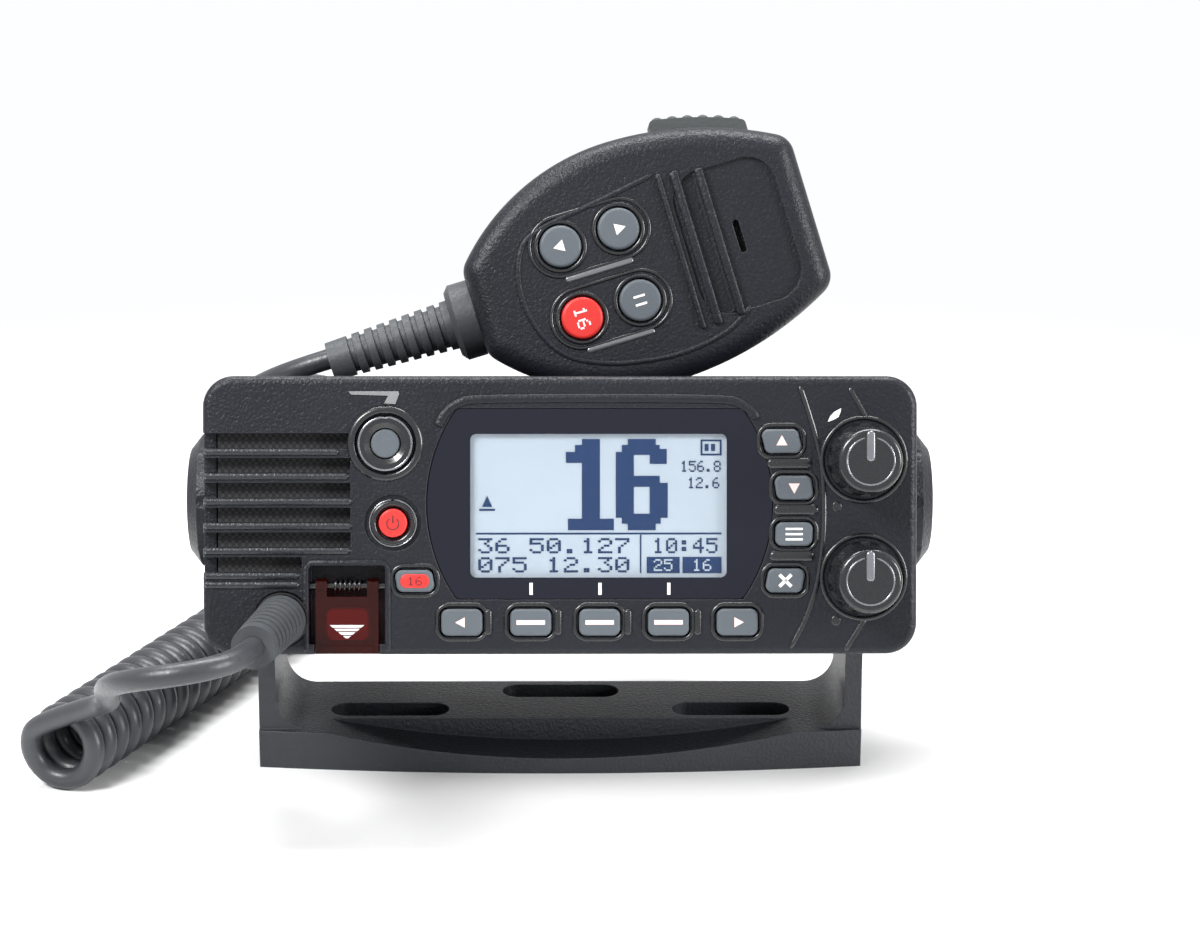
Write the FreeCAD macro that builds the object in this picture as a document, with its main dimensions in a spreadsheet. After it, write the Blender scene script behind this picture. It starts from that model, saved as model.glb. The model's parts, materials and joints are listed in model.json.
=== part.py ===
import FreeCAD, Part
import math
import os
import re
import Sketcher
from FreeCAD import Placement, Rotation, Vector

# A fixed-mount marine radio in its tilting bracket, with a fist microphone on a curly cord.
# World frame: +X right, +Y back, +Z up, origin on the bracket's foot straight under the tilt axis.
# Face frame: origin at the middle of the front face, +Y into the radio, tilted with the radio.
# Mic frame: origin in the middle of the microphone, +X towards its speaker end.

SIZES = {
    # Stance
    "tilt": 16, "pivot_height": 58, "pivot_back": 45, "pivot_above": 1.8,
    # Front panel
    "panel_wide": 150, "panel_high": 58.5, "panel_deep": 25, "panel_corner": 6.5, "panel_edge": 1.6,
    "panel_wall": 2.6, "front_wall": 3,
    # Display
    "window_left": 21.7, "window_right": 38.2, "window_top": 22.4, "window_bottom": 17.5,
    "window_round": 35, "window_deep": 1.2, "window_thick": 1.1,
    "screen_wide": 53.9, "screen_high": 30.2, "screen_x": 8, "screen_z": 2, "screen_thick": 1.6,
    # Keys
    "key_gap": 0.3, "key_proud": 0.9, "key_stem": 4.4, "key_flange": 0.9, "key_corner": 1.5,
    "low_key_wide": 8.6, "low_key_high": 5.6, "low_key_z": 22.4, "low_key_step": 14.45, "low_key_x": 8.2,
    "side_key_wide": 7.8, "side_key_high": 5, "side_key_x": 49, "side_key_bow": 2.6, "side_key_step": 9.75,
    "side_key_top": 15.6,
    "power_round": 3, "power_x": 35.1, "power_z": 1.55,
    "call_key_wide": 7.9, "call_key_high": 4.6, "call_key_x": 30.55, "call_key_z": 13.7,
    # Speaker grille
    "slot_wide": 31, "slot_high": 3.4, "slot_step": 5.2, "slot_count": 6, "slot_top": 15.6, "slot_deep": 3.4,
    "speaker_round": 12.8, "speaker_x": 59, "speaker_z": 3, "speaker_deep": 12, "mesh_thick": 0.4,
    # Ring and cap at the top left
    "ring_round": 5.8, "ring_bore": 3.3, "ring_proud": 0.7, "cap_round": 3.1, "ring_x": 36.7, "ring_z": 15.1,
    # Knobs
    "knob_x": 63.7, "volume_z": 11.7, "squelch_z": 13, "knob_round": 7.7, "knob_tip": 6.6, "knob_high": 13.4,
    "knob_lift": 0.4, "knob_flutes": 12, "flute_round": 1.4, "shaft_round": 3, "shaft_gap": 0.05,
    "shaft_reach": 9, "encoder_wide": 12,
    # Distress cover and button
    "bay_wide": 16, "bay_high": 18.9, "bay_x": 44.8, "bay_deep": 5.4, "bay_wall": 1,
    "cover_wide": 13.2, "cover_thick": 1.5, "hinge_drop": 4.5, "hinge_sink": 1.3, "hinge_round": 1.5,
    "pin_round": 0.8, "pin_gap": 0.05, "alarm_wide": 9, "alarm_high": 6.6, "alarm_drop": 12.7,
    "spring_wire": 0.5, "spring_round": 1.35, "spring_turns": 6,
    # Cord entry
    "gland_x": 58.4, "gland_z": 21.7, "gland_round": 5.6, "gland_seat": 5.9, "gland_tube": 3.8,
    "boot_root": 5.25, "boot_tip": 4.5, "boot_long": 26, "boot_ribs": 8, "boot_droop": 8, "boot_swing": 7,
    "cord_round": 2.35,
    # Circuit boards
    "board_thick": 1.6, "board_depth": 9.2, "main_board_drop": 10,
    # Rear case
    "seal_thick": 0.8, "flange_inset": 1.4, "flange_thick": 2.2, "case_wide": 118, "case_high": 52,
    "case_deep": 55, "case_wall": 3.6, "case_corner": 5, "fin_count": 11, "fin_thick": 2.2, "fin_high": 20,
    "fin_deep": 8, "fin_step": 9.4, "fin_low": 3,
    "ear_round": 12, "ear_gap": 0.3, "screw_x": 68.4, "screw_z": 22.6, "screw_round": 1.45,
    "screw_head": 2.8, "screw_long": 12, "post_round": 3.2,
    "plug_x": 30, "plug_z": 10, "plug_round": 7.9, "plug_long": 12, "plug_flange": 22,
    "grommet_x": 12, "grommet_step": 20, "grommet_round": 5.6, "grommet_bore": 2.6,
    # Bracket
    "bracket_wide": 135.6, "arm_thick": 3.8, "arm_round": 14, "foot_front": 16.7, "foot_back": 13.3,
    "foot_high": 8.8, "foot_dip": 3.6, "foot_bow": 4, "foot_corner": 7, "scoop_wide": 104, "scoop_deep": 12.2,
    "foot_slot_wide": 27, "foot_slot_high": 7.8, "foot_slot_x": 39, "foot_slot_y": 4, "rear_slot_y": 7.2,
    "washer_round": 11, "washer_thick": 1, "washer_gap": 0.3, "stud_round": 2.5,
    "stud_gap": 0.08, "stud_long": 17, "clamp_round": 16.2, "clamp_thick": 13.8, "clamp_flutes": 8,
    "arm_bore": 2.9,
    # Microphone
    "mic_x": 17.9, "mic_y": 44.6, "mic_turn": 17, "mic_gap": 0.3, "mic_tail": 38.5, "mic_tail_half": 9.8,
    "mic_half": 27.5, "mic_nose": 39.4, "mic_nose_half": 16.7, "mic_front": 15, "mic_back": 16,
    "mic_wall": 2.2, "mic_edge": 4.5, "mic_seam": 0.4, "mic_face": 3,
    "mic_key_round": 4.6, "mic_key_x": 9.55, "mic_key_step": 6.65, "mic_key_z": 8.2, "mic_key_proud": 1,
    "mic_speaker_x": 21, "mic_speaker_round": 13, "mic_slot_wide": 1.8, "mic_slot_step": 5.4,
    "ptt_left": 10.6, "ptt_right": 31.5, "ptt_thick": 11, "ptt_proud": 3, "ptt_gap": 0.35, "ptt_deep": 8,
    "collar_round": 8.7, "collar_long": 5.7, "mic_boot_root": 5.65, "mic_boot_tip": 4.35,
    "mic_boot_long": 28.8, "hang_round": 7.5, "hang_neck": 4, "hang_long": 3, "hang_thick": 2.6,
    # Coil of the cord
    "coil_round": 9.6, "coil_gap": 0.5, "coil_turns": 28,
}

NAMES = re.compile(r"\b(" + "|".join(sorted(SIZES, key=len, reverse=True)) + r")\b")

doc = FreeCAD.newDocument("marine_radio")
sheet = doc.addObject("Spreadsheet::Sheet", "Sizes")
for row, (alias, number) in enumerate(SIZES.items(), 1):
    sheet.set("A%d" % row, alias)
    sheet.set("B%d" % row, str(number))
    sheet.setAlias("B%d" % row, alias)
doc.recompute()

pieces = []


def bound(text):
    """The expression with its size names tied to the sheet."""
    return NAMES.sub(r"Sizes.\1", str(text))


def number(text):
    """The present value of an expression."""
    found = sheet.evalExpression(bound(text))
    return float(getattr(found, "Value", found))


def spot(x, y, z, axis="1; 0; 0", angle="0"):
    """A placement as an expression."""
    return "placement(vector(%s; %s; %s); rotation(vector(%s); %s))" % (x, y, z, axis, angle)


WORLD = spot("0", "0", "0")
RADIO = spot("0", "0", "pivot_height", angle="-tilt")
FACE = RADIO + " * " + spot("0", "-pivot_back", "-pivot_above")
TAIL_ARC = "((mic_tail^2 + (mic_half - mic_tail_half)^2) / (2 * (mic_half - mic_tail_half)))"
NOSE_ARC = "((mic_nose^2 + (mic_half - mic_nose_half)^2) / (2 * (mic_half - mic_nose_half)))"
# The microphone stands on the case: its lower tail arc touches the case's top.
MIC_Z = "(case_high / 2 + mic_gap + %s - (%s - mic_half) * cos(mic_turn))" % (TAIL_ARC, TAIL_ARC)
MIC = FACE + " * " + spot("mic_x", "mic_y", MIC_Z, "0; 1; 0", "-mic_turn")


def body(label, frame):
    """An empty body for one piece, placed in its frame."""
    made = doc.addObject("PartDesign::Body", label)
    made.Label = label
    made.setExpression("Placement", bound(frame))
    pieces.append(made)
    return made


def feature(label, shape, frame):
    """A piece whose shape is worked out here."""
    made = doc.addObject("Part::Feature", label)
    made.Label = label
    made.Shape = shape
    made.setExpression("Placement", bound(frame))
    pieces.append(made)
    return made


def sketch(owner, plane, at="0"):
    """A sketch on one of the body's own planes, moved along the plane's normal."""
    made = owner.newObject("Sketcher::SketchObject", "Sketch")
    ground = [item for item in owner.Origin.OriginFeatures if item.Role == plane + "_Plane"][0]
    made.AttachmentSupport = (ground, [""])
    made.MapMode = "FlatFace"
    made.setExpression("AttachmentOffset.Base.z", bound(at))
    return made


def tie(drawing, sizes, joins=()):
    """Constraints whose sizes follow expressions, after those that only join ends."""
    if joins:
        drawing.addConstraint(joins)
    made = [Sketcher.Constraint(kind, *ends, number(text)) for kind, text, ends in sizes]
    for index, (kind, text, ends) in zip(drawing.addConstraint(made), sizes):
        drawing.setExpression("Constraints[%d]" % index, bound(text))


def draw(drawing, points):
    """A closed outline. A point (u, v, radius, side) starts an arc with its centre left (1) or right (-1)."""
    corners = [Vector(number(p[0]), number(p[1]), 0) for p in points]
    ends = []
    for index, point in enumerate(points):
        start = corners[index]
        stop = corners[(index + 1) % len(points)]
        if len(point) == 2:
            geometry = drawing.addGeometry(Part.LineSegment(start, stop), False)
            ends.append((geometry, 1, 2))
            continue
        radius = number(point[2])
        along = stop - start
        normal = Vector(-along.y, along.x, 0).normalize() * point[3]
        centre = (start + stop) * 0.5 + normal * math.sqrt(max(radius ** 2 - along.Length ** 2 / 4, 0))
        angles = [math.atan2(p.y - centre.y, p.x - centre.x) for p in (start, stop)]
        if point[3] < 0:
            angles.reverse()
        if angles[1] < angles[0]:
            angles[1] += 2 * math.pi
        arc = Part.ArcOfCircle(Part.Circle(centre, Vector(0, 0, 1), radius), *angles)
        geometry = drawing.addGeometry(arc, False)
        ends.append((geometry, 1, 2) if point[3] > 0 else (geometry, 2, 1))
    joins, sizes = [], []
    for index, (geometry, head, tail) in enumerate(ends):
        following = ends[(index + 1) % len(ends)]
        joins.append(Sketcher.Constraint("Coincident", geometry, tail, following[0], following[1]))
        sizes.append(("DistanceX", points[index][0], (-1, 1, geometry, head)))
        sizes.append(("DistanceY", points[index][1], (-1, 1, geometry, head)))
        if len(points[index]) > 2:
            sizes.append(("Radius", points[index][2], (geometry,)))
    tie(drawing, sizes, joins)


def box(drawing, left, low, right, high):
    draw(drawing, [(left, low), (right, low), (right, high), (left, high)])


def round_box(drawing, left, low, right, high, corner):
    """A rectangle with round corners."""
    a, b, c, d, r = ["(%s)" % text for text in (left, low, right, high, corner)]
    draw(drawing, [
        (a + "+" + r, b), (c + "-" + r, b, corner, 1), (c, b + "+" + r), (c, d + "-" + r, corner, 1),
        (c + "-" + r, d), (a + "+" + r, d, corner, 1), (a, d + "-" + r), (a, b + "+" + r, corner, 1),
    ])


def disc(drawing, u, v, radius):
    centre = Vector(number(u), number(v), 0)
    geometry = drawing.addGeometry(Part.Circle(centre, Vector(0, 0, 1), number(radius)), False)
    tie(drawing, [("DistanceX", u, (-1, 1, geometry, 3)), ("DistanceY", v, (-1, 1, geometry, 3)),
                  ("Radius", radius, (geometry,))])


def pad(owner, drawing, length, back=False):
    made = owner.newObject("PartDesign::Pad", "Pad")
    made.Profile = drawing
    made.setExpression("Length", bound(length))
    made.Reversed = back
    doc.recompute()
    return made


def pocket(owner, drawing, length, back=False):
    """A cut, which must take some material away."""
    before = owner.Shape.Volume
    made = owner.newObject("PartDesign::Pocket", "Pocket")
    made.Profile = drawing
    made.setExpression("Length", bound(length))
    made.Reversed = back
    doc.recompute()
    if owner.Shape.Volume > before - 1e-6:
        raise ValueError("a pocket cuts nothing in " + owner.Label)
    return made


def spin(owner, drawing, axis, cut=False):
    """A turned shape about the sketch's own axis."""
    made = owner.newObject("PartDesign::" + ("Groove" if cut else "Revolution"), "Turned")
    made.Profile = drawing
    made.ReferenceAxis = (drawing, [axis])
    made.Angle = 360
    doc.recompute()
    return made


def soften(owner, size, wanted, kind="Fillet"):
    """Round or bevel the edges that the test picks."""
    tip = owner.Tip
    names = ["Edge%d" % n for n, edge in enumerate(tip.Shape.Edges, 1) if wanted(edge)]
    if not names:
        raise ValueError("no edge to soften in " + owner.Label)
    made = owner.newObject("PartDesign::" + kind, kind)
    made.Base = (tip, names)
    made.setExpression("Radius" if kind == "Fillet" else "Size", bound(size))
    doc.recompute()
    return made


def repeat(owner, base, drawing, count, axis="N_Axis"):
    """The same cut or pad again around the sketch's axis."""
    made = owner.newObject("PartDesign::PolarPattern", "Round")
    made.Originals = [base]
    made.Axis = (drawing, [axis])
    made.Angle = 360
    made.setExpression("Occurrences", bound(count))
    owner.Tip = made
    doc.recompute()
    return made


def row(owner, base, drawing, count, step, axis, back=False):
    """The same cut or pad again in a straight row."""
    made = owner.newObject("PartDesign::LinearPattern", "Row")
    made.Originals = [base]
    made.Direction = (drawing, [axis])
    made.Reversed = back
    made.setExpression("Length", bound("(%s) * (%s - 1)" % (step, count)))
    made.setExpression("Occurrences", bound(count))
    owner.Tip = made
    doc.recompute()
    return made


def rim(shape, axis, place, largest=True):
    """A test for the edges around the flat face at a place along an axis."""
    found = []
    for face in shape.Faces:
        low = getattr(face.BoundBox, axis + "Min")
        high = getattr(face.BoundBox, axis + "Max")
        if abs(low - place) < 1e-4 and abs(high - place) < 1e-4:
            found.append(face)
    face = max(found, key=lambda item: item.Area)
    edges = face.OuterWire.Edges
    return lambda edge: any(edge.isSame(other) for other in edges)


def slab(label, frame, front, back, outline, holes=()):
    """A plate in the face or mic frame between two depths, with its outline and holes drawn by functions."""
    made = body(label, frame)
    drawing = sketch(made, "XZ", "-(%s)" % front)
    outline(drawing)
    for hole in holes:
        hole(drawing)
    pad(made, drawing, "(%s) - (%s)" % (back, front), True)
    return made


def cut(owner, depth, length, outline, back=False):
    """A cut into a plate from a depth: backwards, or forwards when back is set."""
    drawing = sketch(owner, "XZ", "-(%s)" % depth)
    outline(drawing)
    return pocket(owner, drawing, length, back), drawing


def add(owner, depth, length, outline):
    """Material on a plate from a depth backwards."""
    drawing = sketch(owner, "XZ", "-(%s)" % depth)
    outline(drawing)
    return pad(owner, drawing, length, True)


def turned(label, frame, profile):
    """A turned piece about its frame's Y axis. The profile gives (radius, depth) points."""
    made = body(label, frame)
    drawing = sketch(made, "XY")
    draw(drawing, profile)
    spin(made, drawing, "V_Axis")
    return made


# Biarcs and unbroken tubes for what is wound.

def biarc(start, start_way, stop, stop_way):
    """Two arcs that join two points smoothly along the given directions."""
    gap = stop - start
    ways = start_way + stop_way
    share = 2 * (1 - start_way.dot(stop_way))
    push = gap.dot(ways)
    reach = (math.sqrt(push ** 2 + share * gap.dot(gap)) - push) / share
    first = start + start_way * reach
    last = stop - stop_way * reach
    middle = (first + last) * 0.5
    edges = []
    for near, way, far in ((start, start_way, middle), (stop, stop_way * -1, middle)):
        chord = far - near
        across = chord - way * chord.dot(way)
        radius = chord.dot(chord) / (2 * across.Length)
        centre = near + across.normalize() * radius
        out = ((near - centre) + (far - centre)).normalize() * radius
        arc = Part.Arc(near, centre + out, far)
        edges.append(arc.toShape())
    return edges


def tube(edges, radius, start, way):
    """A round tube along joined edges."""
    section = Part.Wire(Part.Circle(start, way, radius).toShape())
    made = Part.Wire(Part.__sortEdges__(edges)).makePipeShell([section], True, False)
    return Part.Solid(made) if made.ShapeType == "Shell" else made


def helix(turns, radius, pitch, lead, first):
    """The edges of a helix along +Y with straight ends, about four pairs of arcs a turn, that ends at its side."""
    whole = 2 * math.pi * turns - math.radians(first)
    steps = int(round(turns * 4))
    stride = whole / steps
    climb = pitch / (2 * math.pi)
    begin = math.radians(first)

    def place(angle):
        return Vector(radius * math.cos(begin + angle), climb * angle, radius * math.sin(begin + angle))

    def heading(angle):
        return Vector(-radius * math.sin(begin + angle), climb, radius * math.cos(begin + angle)).normalize()

    edges = [Part.LineSegment(place(0) - heading(0) * lead, place(0)).toShape()]
    for step in range(steps):
        here = step * stride
        there = here + stride
        edges += biarc(place(here), heading(here), place(there), heading(there))
    last = whole
    edges.append(Part.LineSegment(place(last), place(last) + heading(last) * lead).toShape())
    return edges, place(0) - heading(0) * lead, heading(0), place(last) + heading(last) * lead, heading(last)


# Outlines that several pieces share.

def window(grow):
    """The barrel-shaped outline of the display's window, grown by a gap."""
    left = "-window_left - (%s)" % grow
    right = "window_right + (%s)" % grow
    low = "-window_bottom - (%s)" % grow
    high = "window_top + (%s)" % grow
    return lambda drawing: draw(drawing, [
        (left, low), (right, low, "window_round", 1), (right, high), (left, high, "window_round", 1)])


def leaning(x, z, wide, high, lean, corner="key_corner"):
    """A key's outline: a round-cornered box whose foot leans sideways."""
    w, h, s, r = ["(%s)" % text for text in (wide, high, lean, corner)]

    def at(u, v):
        return ("%s + %s" % (x, u), "%s + %s" % (z, v))

    slope = "%s * %s / %s" % (s, r, h)
    return lambda drawing: draw(drawing, [
        at("(-%s/2 + %s/2 + %s)" % (w, s, r), "(-%s/2)" % h),
        at("(%s/2 + %s/2 - %s)" % (w, s, r), "(-%s/2)" % h) + (corner, 1),
        at("(%s/2 + %s/2 - %s)" % (w, s, slope), "(-%s/2 + %s)" % (h, r)),
        at("(%s/2 - %s/2 + %s)" % (w, s, slope), "(%s/2 - %s)" % (h, r)) + (corner, 1),
        at("(%s/2 - %s/2 - %s)" % (w, s, r), "(%s/2)" % h),
        at("(-%s/2 - %s/2 + %s)" % (w, s, r), "(%s/2)" % h) + (corner, 1),
        at("(-%s/2 - %s/2 + %s)" % (w, s, slope), "(%s/2 - %s)" % (h, r)),
        at("(-%s/2 + %s/2 - %s)" % (w, s, slope), "(-%s/2 + %s)" % (h, r)) + (corner, 1)])


def microphone(inset):
    """The microphone's outline: two flat ends joined by four arcs, drawn in by a wall."""
    tail, nose, half = "(mic_tail - (%s))" % inset, "(mic_nose - (%s))" % inset, "(mic_half - (%s))" % inset
    tail_arc, nose_arc = "(%s - (%s))" % (TAIL_ARC, inset), "(%s - (%s))" % (NOSE_ARC, inset)
    tail_half = "(mic_half - %s + sqrt(%s^2 - %s^2))" % (TAIL_ARC, tail_arc, tail)
    nose_half = "(mic_half - %s + sqrt(%s^2 - %s^2))" % (NOSE_ARC, nose_arc, nose)
    return lambda drawing: draw(drawing, [
        ("-" + tail, "-" + tail_half, tail_arc, 1), ("0", "-" + half, nose_arc, 1), (nose, "-" + nose_half),
        (nose, nose_half, nose_arc, 1), ("0", half, tail_arc, 1), ("-" + tail, tail_half)])


# Keys: name, middle, width, height and lean. The side keys follow a bow.
SIDE_BOW = {"up": (1, 1.4), "down": (0, 0.8), "menu": (0, -0.2), "clear": (0.7, -1)}
LOW_KEYS = ("left", "soft_left", "soft_middle", "soft_right", "right")
KEYS = {}
for place, key in enumerate(LOW_KEYS):
    KEYS["key_" + key] = ("low_key_x + low_key_step * %d" % (place - 2), "-low_key_z", "low_key_wide", "low_key_high", "0")
for place, (key, (bow, lean)) in enumerate(SIDE_BOW.items()):
    KEYS["key_" + key] = ("side_key_x - side_key_bow * %g" % bow, "side_key_top - side_key_step * %d" % place,
                          "side_key_wide", "side_key_high", "%g" % lean)
KEYS["key_channel"] = ("-call_key_x", "-call_key_z", "call_key_wide", "call_key_high", "0.8")

BAY_TOP = "(-panel_high / 2 + bay_high)"
HINGE_Z = "(%s - hinge_drop)" % BAY_TOP
BAY_LEFT, BAY_RIGHT = "(-bay_x - bay_wide / 2)", "(-bay_x + bay_wide / 2)"
BAY_LOW = "(-panel_high / 2 + panel_wall - 0.4)"
SCREWS = [("%sscrew_x" % across, "%sscrew_z" % up) for across in ("-", "") for up in ("-", "")]
SPEAKER_EDGE = "(-panel_wide / 2 + slot_wide)"


def bay_block(drawing):
    box(drawing, BAY_LEFT + " - bay_wall", BAY_LOW + " - 0.6", BAY_RIGHT + " + bay_wall", BAY_TOP + " + bay_wall")


def front_panel():
    half, tall = "(panel_wide / 2)", "(panel_high / 2)"
    made = slab("front_panel", FACE, "0", "panel_deep", lambda s: round_box(
        s, "-" + half, "-" + tall, half, tall, "panel_corner"))
    soften(made, "panel_edge", rim(made.Tip.Shape, "Y", 0))
    cut(made, "panel_deep", "panel_deep - front_wall", lambda s: round_box(
        s, "-%s + panel_wall" % half, "-%s + panel_wall" % tall, half + " - panel_wall", tall + " - panel_wall",
        "panel_corner - panel_wall"), back=True)

    def posts(drawing):
        for x, z in SCREWS:
            disc(drawing, x, z, "post_round")

    add(made, "front_wall - 0.5", "panel_deep - front_wall + 0.5", posts)
    add(made, "front_wall - 0.5", "bay_deep + 3 - front_wall", bay_block)
    cut(made, "0", "window_deep", window("key_gap / 2"))

    def openings(drawing):
        box(drawing, "screen_x - screen_wide / 2 - 1", "screen_z - screen_high / 2 - 1",
            "screen_x + screen_wide / 2 + 1", "screen_z + screen_high / 2 + 1")
        disc(drawing, "-power_x", "-power_z", "power_round + key_gap")
        for z in ("volume_z", "-squelch_z"):
            disc(drawing, "knob_x", z, "shaft_round + 0.6")
        disc(drawing, "-ring_x", "ring_z", "ring_round + 0.1")
        disc(drawing, "-gland_x", "-gland_z", "gland_tube + 0.1")

    cut(made, "-1", "front_wall + 1.5", openings)
    for x, z, wide, high, lean in KEYS.values():
        cut(made, "-1", "front_wall + 1.5", leaning(x, z, wide + " + 2 * key_gap", high + " + 2 * key_gap", lean))

    def rings(drawing):
        disc(drawing, "-ring_x", "ring_z", "ring_round + 2.1")
        disc(drawing, "-power_x", "-power_z", "power_round + 3")

    cut(made, "0", "0.6", rings)
    cut(made, "0", "1.5", lambda s: disc(s, "-gland_x", "-gland_z", "gland_seat"))
    slot, drawing = cut(made, "0", "slot_deep", lambda s: box(
        s, "-panel_wide / 2 - 1", "slot_top - slot_high / 2", SPEAKER_EDGE, "slot_top + slot_high / 2"))
    row(made, slot, drawing, "(slot_count - 1)", "slot_step", "V_Axis", back=True)
    cut(made, "0", "slot_deep", lambda s: box(
        s, "-panel_wide / 2 - 1", "slot_top - slot_step * (slot_count - 1) - slot_high / 2",
        BAY_LEFT + " - bay_wall - 0.4", "slot_top - slot_step * (slot_count - 1) + slot_high / 2"))
    cut(made, "0", "bay_deep", lambda s: box(s, BAY_LEFT, BAY_LOW, BAY_RIGHT, BAY_TOP))
    cut(made, "0", "cover_thick + 0.8", lambda s: box(
        s, "-bay_x - cover_wide / 2 - key_gap", "-panel_high / 2 - 1", "-bay_x + cover_wide / 2 + key_gap",
        BAY_LOW + " + 0.5"))
    cut(made, "bay_deep - 1", "5", lambda s: round_box(
        s, "-bay_x - alarm_wide / 2 - key_gap", "%s - alarm_drop - alarm_high / 2 - key_gap" % BAY_TOP,
        "-bay_x + alarm_wide / 2 + key_gap", "%s - alarm_drop + alarm_high / 2 + key_gap" % BAY_TOP, "key_corner"))

    def threads(drawing):
        for x, z in SCREWS:
            disc(drawing, x, z, "screw_round + 0.05")

    cut(made, "panel_deep", "screw_long - flange_thick - seal_thick + 1", threads, back=True)


def key(label, x, z, wide, high, lean):
    """A key with a flange that holds it behind the front wall."""
    made = slab(label, FACE, "-key_proud", "key_stem", leaning(x, z, wide, high, lean))
    soften(made, "key_proud / 2.6", rim(made.Tip.Shape, "Y", number("-key_proud")), "Chamfer")
    add(made, "key_stem", "key_flange", leaning(x, z, wide + " + 1.6", high + " + 1.6", lean))


def power_button():
    made = turned("power_button", FACE + " * " + spot("-power_x", "0", "-power_z"), [
        ("0", "-key_proud"), ("power_round", "-key_proud"), ("power_round", "key_stem"),
        ("power_round + 1", "key_stem"), ("power_round + 1", "key_stem + key_flange"), ("0", "key_stem + key_flange")])
    soften(made, "key_proud / 2", rim(made.Tip.Shape, "Y", number("-key_proud")))


def display():
    lens = slab("display_window", FACE, "window_deep - window_thick", "window_deep", window("0"))
    soften(lens, "key_corner", lambda edge: abs(edge.BoundBox.YLength - number("window_thick")) < 1e-4
           and edge.BoundBox.XLength < 1e-4)
    wide, tall = "(screen_wide / 2)", "(screen_high / 2)"
    slab("display_panel", FACE, "window_deep + 0.2", "window_deep + 0.2 + screen_thick", lambda s: box(
        s, "screen_x - " + wide + " - 0.7", "screen_z - " + tall + " - 0.7",
        "screen_x + " + wide + " + 0.7", "screen_z + " + tall + " + 0.7"))
    holder = slab("display_frame", FACE, "front_wall + 0.1", "board_depth - 0.1", lambda s: box(
        s, "screen_x - " + wide + " - 2.4", "screen_z - " + tall + " - 2",
        "screen_x + " + wide + " + 2.4", "screen_z + " + tall + " + 2"))
    cut(holder, "front_wall", "3", lambda s: box(
        s, "screen_x - " + wide, "screen_z - " + tall, "screen_x + " + wide, "screen_z + " + tall))


def boards():
    right, top, step = "(panel_wide / 2 - panel_wall - 0.5)", "(panel_high / 2 - panel_wall - 0.5)", "(screw_z - post_round - 0.5)"
    inner, edge = "(screw_x - post_round - 0.5)", "(" + SPEAKER_EDGE + " + 1.5)"
    low_left, low_top = "(" + BAY_LEFT + " - 0.5)", "(speaker_z - speaker_round - 0.6)"
    slab("control_board", FACE, "board_depth", "board_depth + board_thick", lambda s: draw(s, [
        (low_left, "-" + top), (inner, "-" + top), (inner, "-" + step), (right, "-" + step), (right, step),
        (inner, step), (inner, top), (edge, top), (edge, low_top), (low_left, low_top)]))
    made = body("main_board", FACE)
    drawing = sketch(made, "XY", "-main_board_drop")
    box(drawing, "-case_wide / 2 + case_wall + 0.4", "panel_deep + 6", "case_wide / 2 - case_wall - 0.4",
        "panel_deep + case_deep - case_wall - 1.3")
    pad(made, drawing, "board_thick")


def speaker():
    step = "(speaker_z - speaker_round - 0.2)"
    left, low = "(-panel_wide / 2 + panel_wall + 0.3)", "(slot_top - slot_step * (slot_count - 1) - slot_high / 2 - 0.5)"
    bay, top = "(" + BAY_LEFT + " - bay_wall - 0.3)", "(slot_top + slot_high / 2 + 0.5)"
    shelf = "(" + BAY_TOP + " + bay_wall + 0.3)"
    slab("speaker_mesh", FACE, "front_wall + 0.1", "front_wall + 0.1 + mesh_thick", lambda s: draw(s, [
        (left, low), (bay, low), (bay, shelf), (SPEAKER_EDGE + " + 0.4", shelf), (SPEAKER_EDGE + " + 0.4", top),
        (left, top)]))
    front = "(front_wall + mesh_thick + 0.2)"
    turned("speaker_driver", FACE + " * " + spot("-speaker_x", "0", "speaker_z"), [
        ("0", front + " + 2.5"), ("speaker_round - 2", front + " + 0.6"), ("speaker_round - 1", front),
        ("speaker_round", front), ("speaker_round", front + " + 1.5"), ("speaker_round * 0.62", front + " + 6"),
        ("speaker_round * 0.62", front + " + speaker_deep"), ("0", front + " + speaker_deep")])


def ring():
    turned("ring_trim", FACE + " * " + spot("-ring_x", "0", "ring_z"), [
        ("ring_bore", "-0.2"), ("ring_round - 1.4", "-ring_proud"), ("ring_round - 0.5", "-ring_proud"),
        ("ring_round", "-ring_proud + 0.5"), ("ring_round", "front_wall"), ("ring_bore", "front_wall")])
    made = turned("ring_cap", FACE + " * " + spot("-ring_x", "0", "ring_z"), [
        ("0", "0"), ("cap_round", "0"), ("cap_round", "front_wall"), ("0", "front_wall")])
    soften(made, "0.4", rim(made.Tip.Shape, "Y", 0))


def encoder(label, z):
    """A rotary control on the board, with its bush and shaft through the front wall."""
    made = slab(label, FACE, "front_wall + 0.2", "board_depth - 0.1", lambda s: box(
        s, "knob_x - encoder_wide / 2", z + " - encoder_wide / 2", "knob_x + encoder_wide / 2", z + " + encoder_wide / 2"))
    add(made, "-shaft_reach", "shaft_reach + front_wall + 1", lambda s: disc(s, "knob_x", z, "shaft_round"))


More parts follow.
